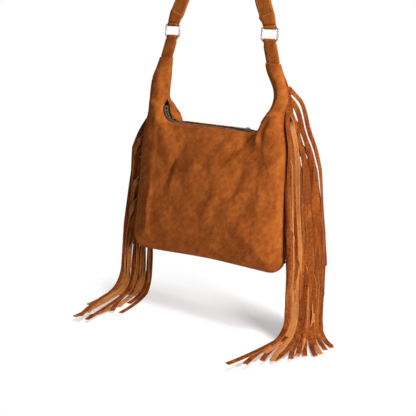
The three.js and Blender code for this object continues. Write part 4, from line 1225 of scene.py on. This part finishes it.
# %% Fringes
HEADER_STEPS = 60
FACING = {1: -0.8, -1: -1.25}
LANE_FACING = 0.6
FACE_PLAY = 0.9
WANDER = 0.35
WAVE = 1.3
CUP = 0.7
# A strand starts to lie flat at the first height over the floor, and is flat from the second one on.
LANDING = (45, 6)
# Strands that are turned over from the seam on, and strands that turn over above the floor.
SHOWS_REVERSE = {1: {3, 11}, -1: {11, 20, 24}}
TURNS_LOW = {1: {13, 17, 20, 24, 26, 31}, -1: {14, 17, 19, 22, 25, 27, 30, 31}}


def swing(s, lengths, n, m):
    """A gentle wave along a strand, with a length and a start of its own."""
    return np.sin(s / mix(*lengths, chance(n)) + 6 * chance(m))


def strand(i, side):
    line, turn, lane = strand_line(i, side)
    s = np.arange(len(line)) * STEP
    height = line[:, 2]
    on_floor = smooth(FLOOR + LANDING[0], FLOOR + LANDING[1], height)
    face = FACING[side] + LANE_FACING * (lane - 0.5) + play(i * 13 + side, FACE_PLAY)
    wander = WANDER * swing(s, (38, 70), i * 17 + side, i * 19 + side) * smooth(20, 90, s)
    turns_at = FLOOR + mix(60, 170, chance(i * 41 + side))
    flips = smooth(6, 40, s) * (i in SHOWS_REVERSE[side])
    flips = flips + smooth(turns_at + 70, turns_at, height) * (i in TURNS_LOW[side])
    yaw = mix(math.pi / 2 + face + wander, turn, on_floor) + math.pi * flips
    flat = np.stack([np.cos(yaw), np.sin(yaw), 0 * yaw], axis=1)
    hint = mix(np.array([0, 0, 1.0]), flat, smooth(1, TWIST_LENGTH, s)[:, None])
    wide, out = frames(line, hint)
    wave = WAVE * swing(s, (26, 44), i * 23 + side, i * 29 + side) * smooth(30, 110, s)
    line = line + out * (wave * (1 - on_floor))[:, None]
    cup = CUP * smooth(10, 60, s) * (0.4 + chance(i * 31 + side)) * (1 - on_floor)
    return on_side(side, ribbon(line, wide, out, STRAND_WIDTH / 2, STRAND_THICKNESS / 2, cup))


def header(side):
    """The fringe's uncut edge, which is sewn into the seam."""
    h = HEADER_THICKNESS / 2
    rows = []
    for share in np.linspace(0, 1, HEADER_STEPS):
        p, out = seam_at(share)
        for o, y in ((-HEADER_DEPTH, -h), (HEADER_PROUD, -h), (HEADER_PROUD, h), (-HEADER_DEPTH, h)):
            rows.append(sagged(np.array([side * (p[0] + out[0] * o), y, p[1] + out[1] * o])))
    faces = tube_faces(HEADER_STEPS, 4)
    return plain(np.array(rows), faces if side > 0 else [face[::-1] for face in faces])


def fringe(side):
    name = SIDE_NAMES[side]
    shapes = [header(side)] + [strand(i, side) for i in range(STRANDS)]
    made = make_piece(f"fringe_strands_{name}", join_shapes(shapes), [strand_suede, strand_reverse])
    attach(made, "bag")
    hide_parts(f"fringe_{name}")
    cut = STRANDS * STRAND_WIDTH * FRINGE_LENGTH + SEAM_LENGTH * (HEADER_DEPTH + HEADER_PROUD)
    cut = cut * MM * MM
    return made


fringes = [fringe(-1), fringe(1)]
print("fringe faces:", [len(made.data.polygons) for made in fringes])

# %% [markdown]
# The bag is shown as a catalogue shows it: on white, with only a soft shadow where the fringe reaches the
# floor. The white is a colour that only the camera, mirrors and clear things see, so it adds no light to
# the bag. The floor is plain near the bag, where its shadow falls, and turns into the same white further
# out.

# %% Floor
FLOOR_SIZE = 2.4
SHADOW_CENTRE = (0.06, -0.05, 0.0)
SHADOW_NEAR = 0.2
SHADOW_FAR = 0.37
FLOOR_TONE = "#e6e6e6"
FLOOR_GLOW = 0.42


def seen_directly(owner):
    """1 for rays from the camera, off a mirror or through something clear, and 0 for the light's rays."""
    seen = add_node(owner, "ShaderNodeLightPath").outputs
    share = seen["Is Camera Ray"]
    for ray in ("Is Glossy Ray", "Is Transmission Ray"):
        share = add_node(owner, "ShaderNodeMath", {0: share, 1: seen[ray]}, operation="MAXIMUM").outputs[0]
    return share


def blended(owner, share, first, second):
    inputs = {0: share, 1: first.outputs[0], 2: second.outputs[0]}
    return add_node(owner, "ShaderNodeMixShader", inputs)


def make_floor_material():
    material, place = new_material("white_paper_floor")
    looks = {"Base Color": colour(FLOOR_TONE), "Roughness": 0.9, "Specular IOR Level": 0.1}
    paper = add_node(material, "ShaderNodeBsdfPrincipled", looks)
    glow = add_node(material, "ShaderNodeEmission", {"Color": colour("#ffffff"), "Strength": FLOOR_GLOW})
    lit = add_node(material, "ShaderNodeAddShader", {0: paper.outputs[0], 1: glow.outputs[0]})
    white = add_node(material, "ShaderNodeEmission", {"Color": colour("#ffffff"), "Strength": 1.0})
    from_bag = add_node(material, "ShaderNodeVectorMath", {0: place, 1: SHADOW_CENTRE}, operation="SUBTRACT")
    away = add_node(material, "ShaderNodeVectorMath", {0: from_bag.outputs[0]}, operation="LENGTH")
    far = add_node(
        material,
        "ShaderNodeMapRange",
        {"Value": away.outputs["Value"], "From Min": SHADOW_NEAR, "From Max": SHADOW_FAR},
        interpolation_type="SMOOTHSTEP",
    )
    near = blended(material, far.outputs[0], lit, white)
    return finish_material(material, blended(material, seen_directly(material), paper, near))


def add_floor():
    half = FLOOR_SIZE / 2
    mesh = bpy.data.meshes.new("floor")
    corners = [(-half, -half, 0), (half, -half, 0), (half, half, 0), (-half, half, 0)]
    mesh.from_pydata(corners, [], [(0, 1, 2, 3)])
    mesh.materials.append(make_floor_material())
    floor = bpy.data.objects.new("floor", mesh)
    floor.location = (0, 0, (FLOOR - STRAP_DROP) * MM)
    bpy.context.scene.collection.objects.link(floor)
    return floor


floor = add_floor()
print("floor at", round(floor.location.z, 4), "m")

# %% [markdown]
# Two soft boxes light the bag: one low on its right and one overhead, and the surround adds a little even
# light. That leaves the left side of the bag darker, as it is in the picture.

# %% World and lamps
WORLD_LIGHT = 0.07
# Each lamp: name, where it is, what it is turned to, size in metres, power in watts.
LAMPS = [
    ("side_box", (1.45, -0.6, 0.1), (0, 0, -0.45), 0.65, 25),
    ("top_box", (0.75, -0.2, 1.3), (0, 0, -0.5), 0.6, 32),
]


def add_world():
    world = bpy.data.worlds.new("studio")
    world.use_nodes = True
    world.node_tree.nodes.clear()
    looks = seen_directly(world)
    surround = add_node(world, "ShaderNodeBackground", {"Color": colour("#ffffff"), "Strength": WORLD_LIGHT})
    white = add_node(world, "ShaderNodeBackground", {"Color": colour("#ffffff"), "Strength": 1.0})
    shown = blended(world, looks, surround, white)
    add_node(world, "ShaderNodeOutputWorld", {"Surface": shown.outputs[0]})
    bpy.context.scene.world = world


def add_lamp(name, place, target, size, watts):
    lamp = bpy.data.lights.new(name, "AREA")
    lamp.shape = "DISK"
    lamp.size = size
    lamp.energy = watts
    made = bpy.data.objects.new(name, lamp)
    made.location = place
    made.rotation_euler = (Vector(target) - Vector(place)).to_track_quat("-Z", "Y").to_euler()
    bpy.context.scene.collection.objects.link(made)


add_world()
for lamp in LAMPS:
    add_lamp(*lamp)
print("world light", WORLD_LIGHT, "lamps:", len(LAMPS))

# %% [markdown]
# The camera stands where the picture's did: about 1.15 m from the bag, 30 degrees round to its right and
# 11 degrees above it, tilted a little. Its shift puts the bag where it is in the frame.

# %% Camera
AZIMUTH = math.radians(29.66)
ELEVATION = math.radians(10.96)
ROLL = math.radians(3.64)
CAMERA_DISTANCE = 1.147
FOCAL_PIXELS = 616.4
FRAME_PIXELS = 416
SENSOR = 36
CENTRE_PIXELS = (209.7, 180.5)
TARGET = Vector((0, 0, (-100 - STRAP_DROP) * MM))


def add_camera():
    data = bpy.data.cameras.new("camera")
    data.sensor_fit = "HORIZONTAL"
    data.sensor_width = SENSOR
    data.lens = FOCAL_PIXELS / FRAME_PIXELS * SENSOR
    data.shift_x = (FRAME_PIXELS / 2 - CENTRE_PIXELS[0]) / FRAME_PIXELS
    data.shift_y = (CENTRE_PIXELS[1] - FRAME_PIXELS / 2) / FRAME_PIXELS
    data.dof.use_dof = False
    camera = bpy.data.objects.new("camera", data)
    a, e = AZIMUTH, ELEVATION
    back = Vector((math.sin(a) * math.cos(e), -math.cos(a) * math.cos(e), math.sin(e)))
    level = Vector((math.cos(a), math.sin(a), 0))
    upright = back.cross(level)
    right = level * math.cos(ROLL) + upright * math.sin(ROLL)
    up = upright * math.cos(ROLL) - level * math.sin(ROLL)
    camera.rotation_mode = "QUATERNION"
    camera.rotation_quaternion = Matrix((right, up, back)).transposed().to_quaternion()
    camera.location = TARGET + back * CAMERA_DISTANCE
    bpy.context.scene.collection.objects.link(camera)
    bpy.context.scene.camera = camera
    return camera


camera = add_camera()
bpy.context.scene.view_settings.view_transform = "Standard"
print("lens", round(camera.data.lens, 1), "mm at", [round(v, 3) for v in camera.location])
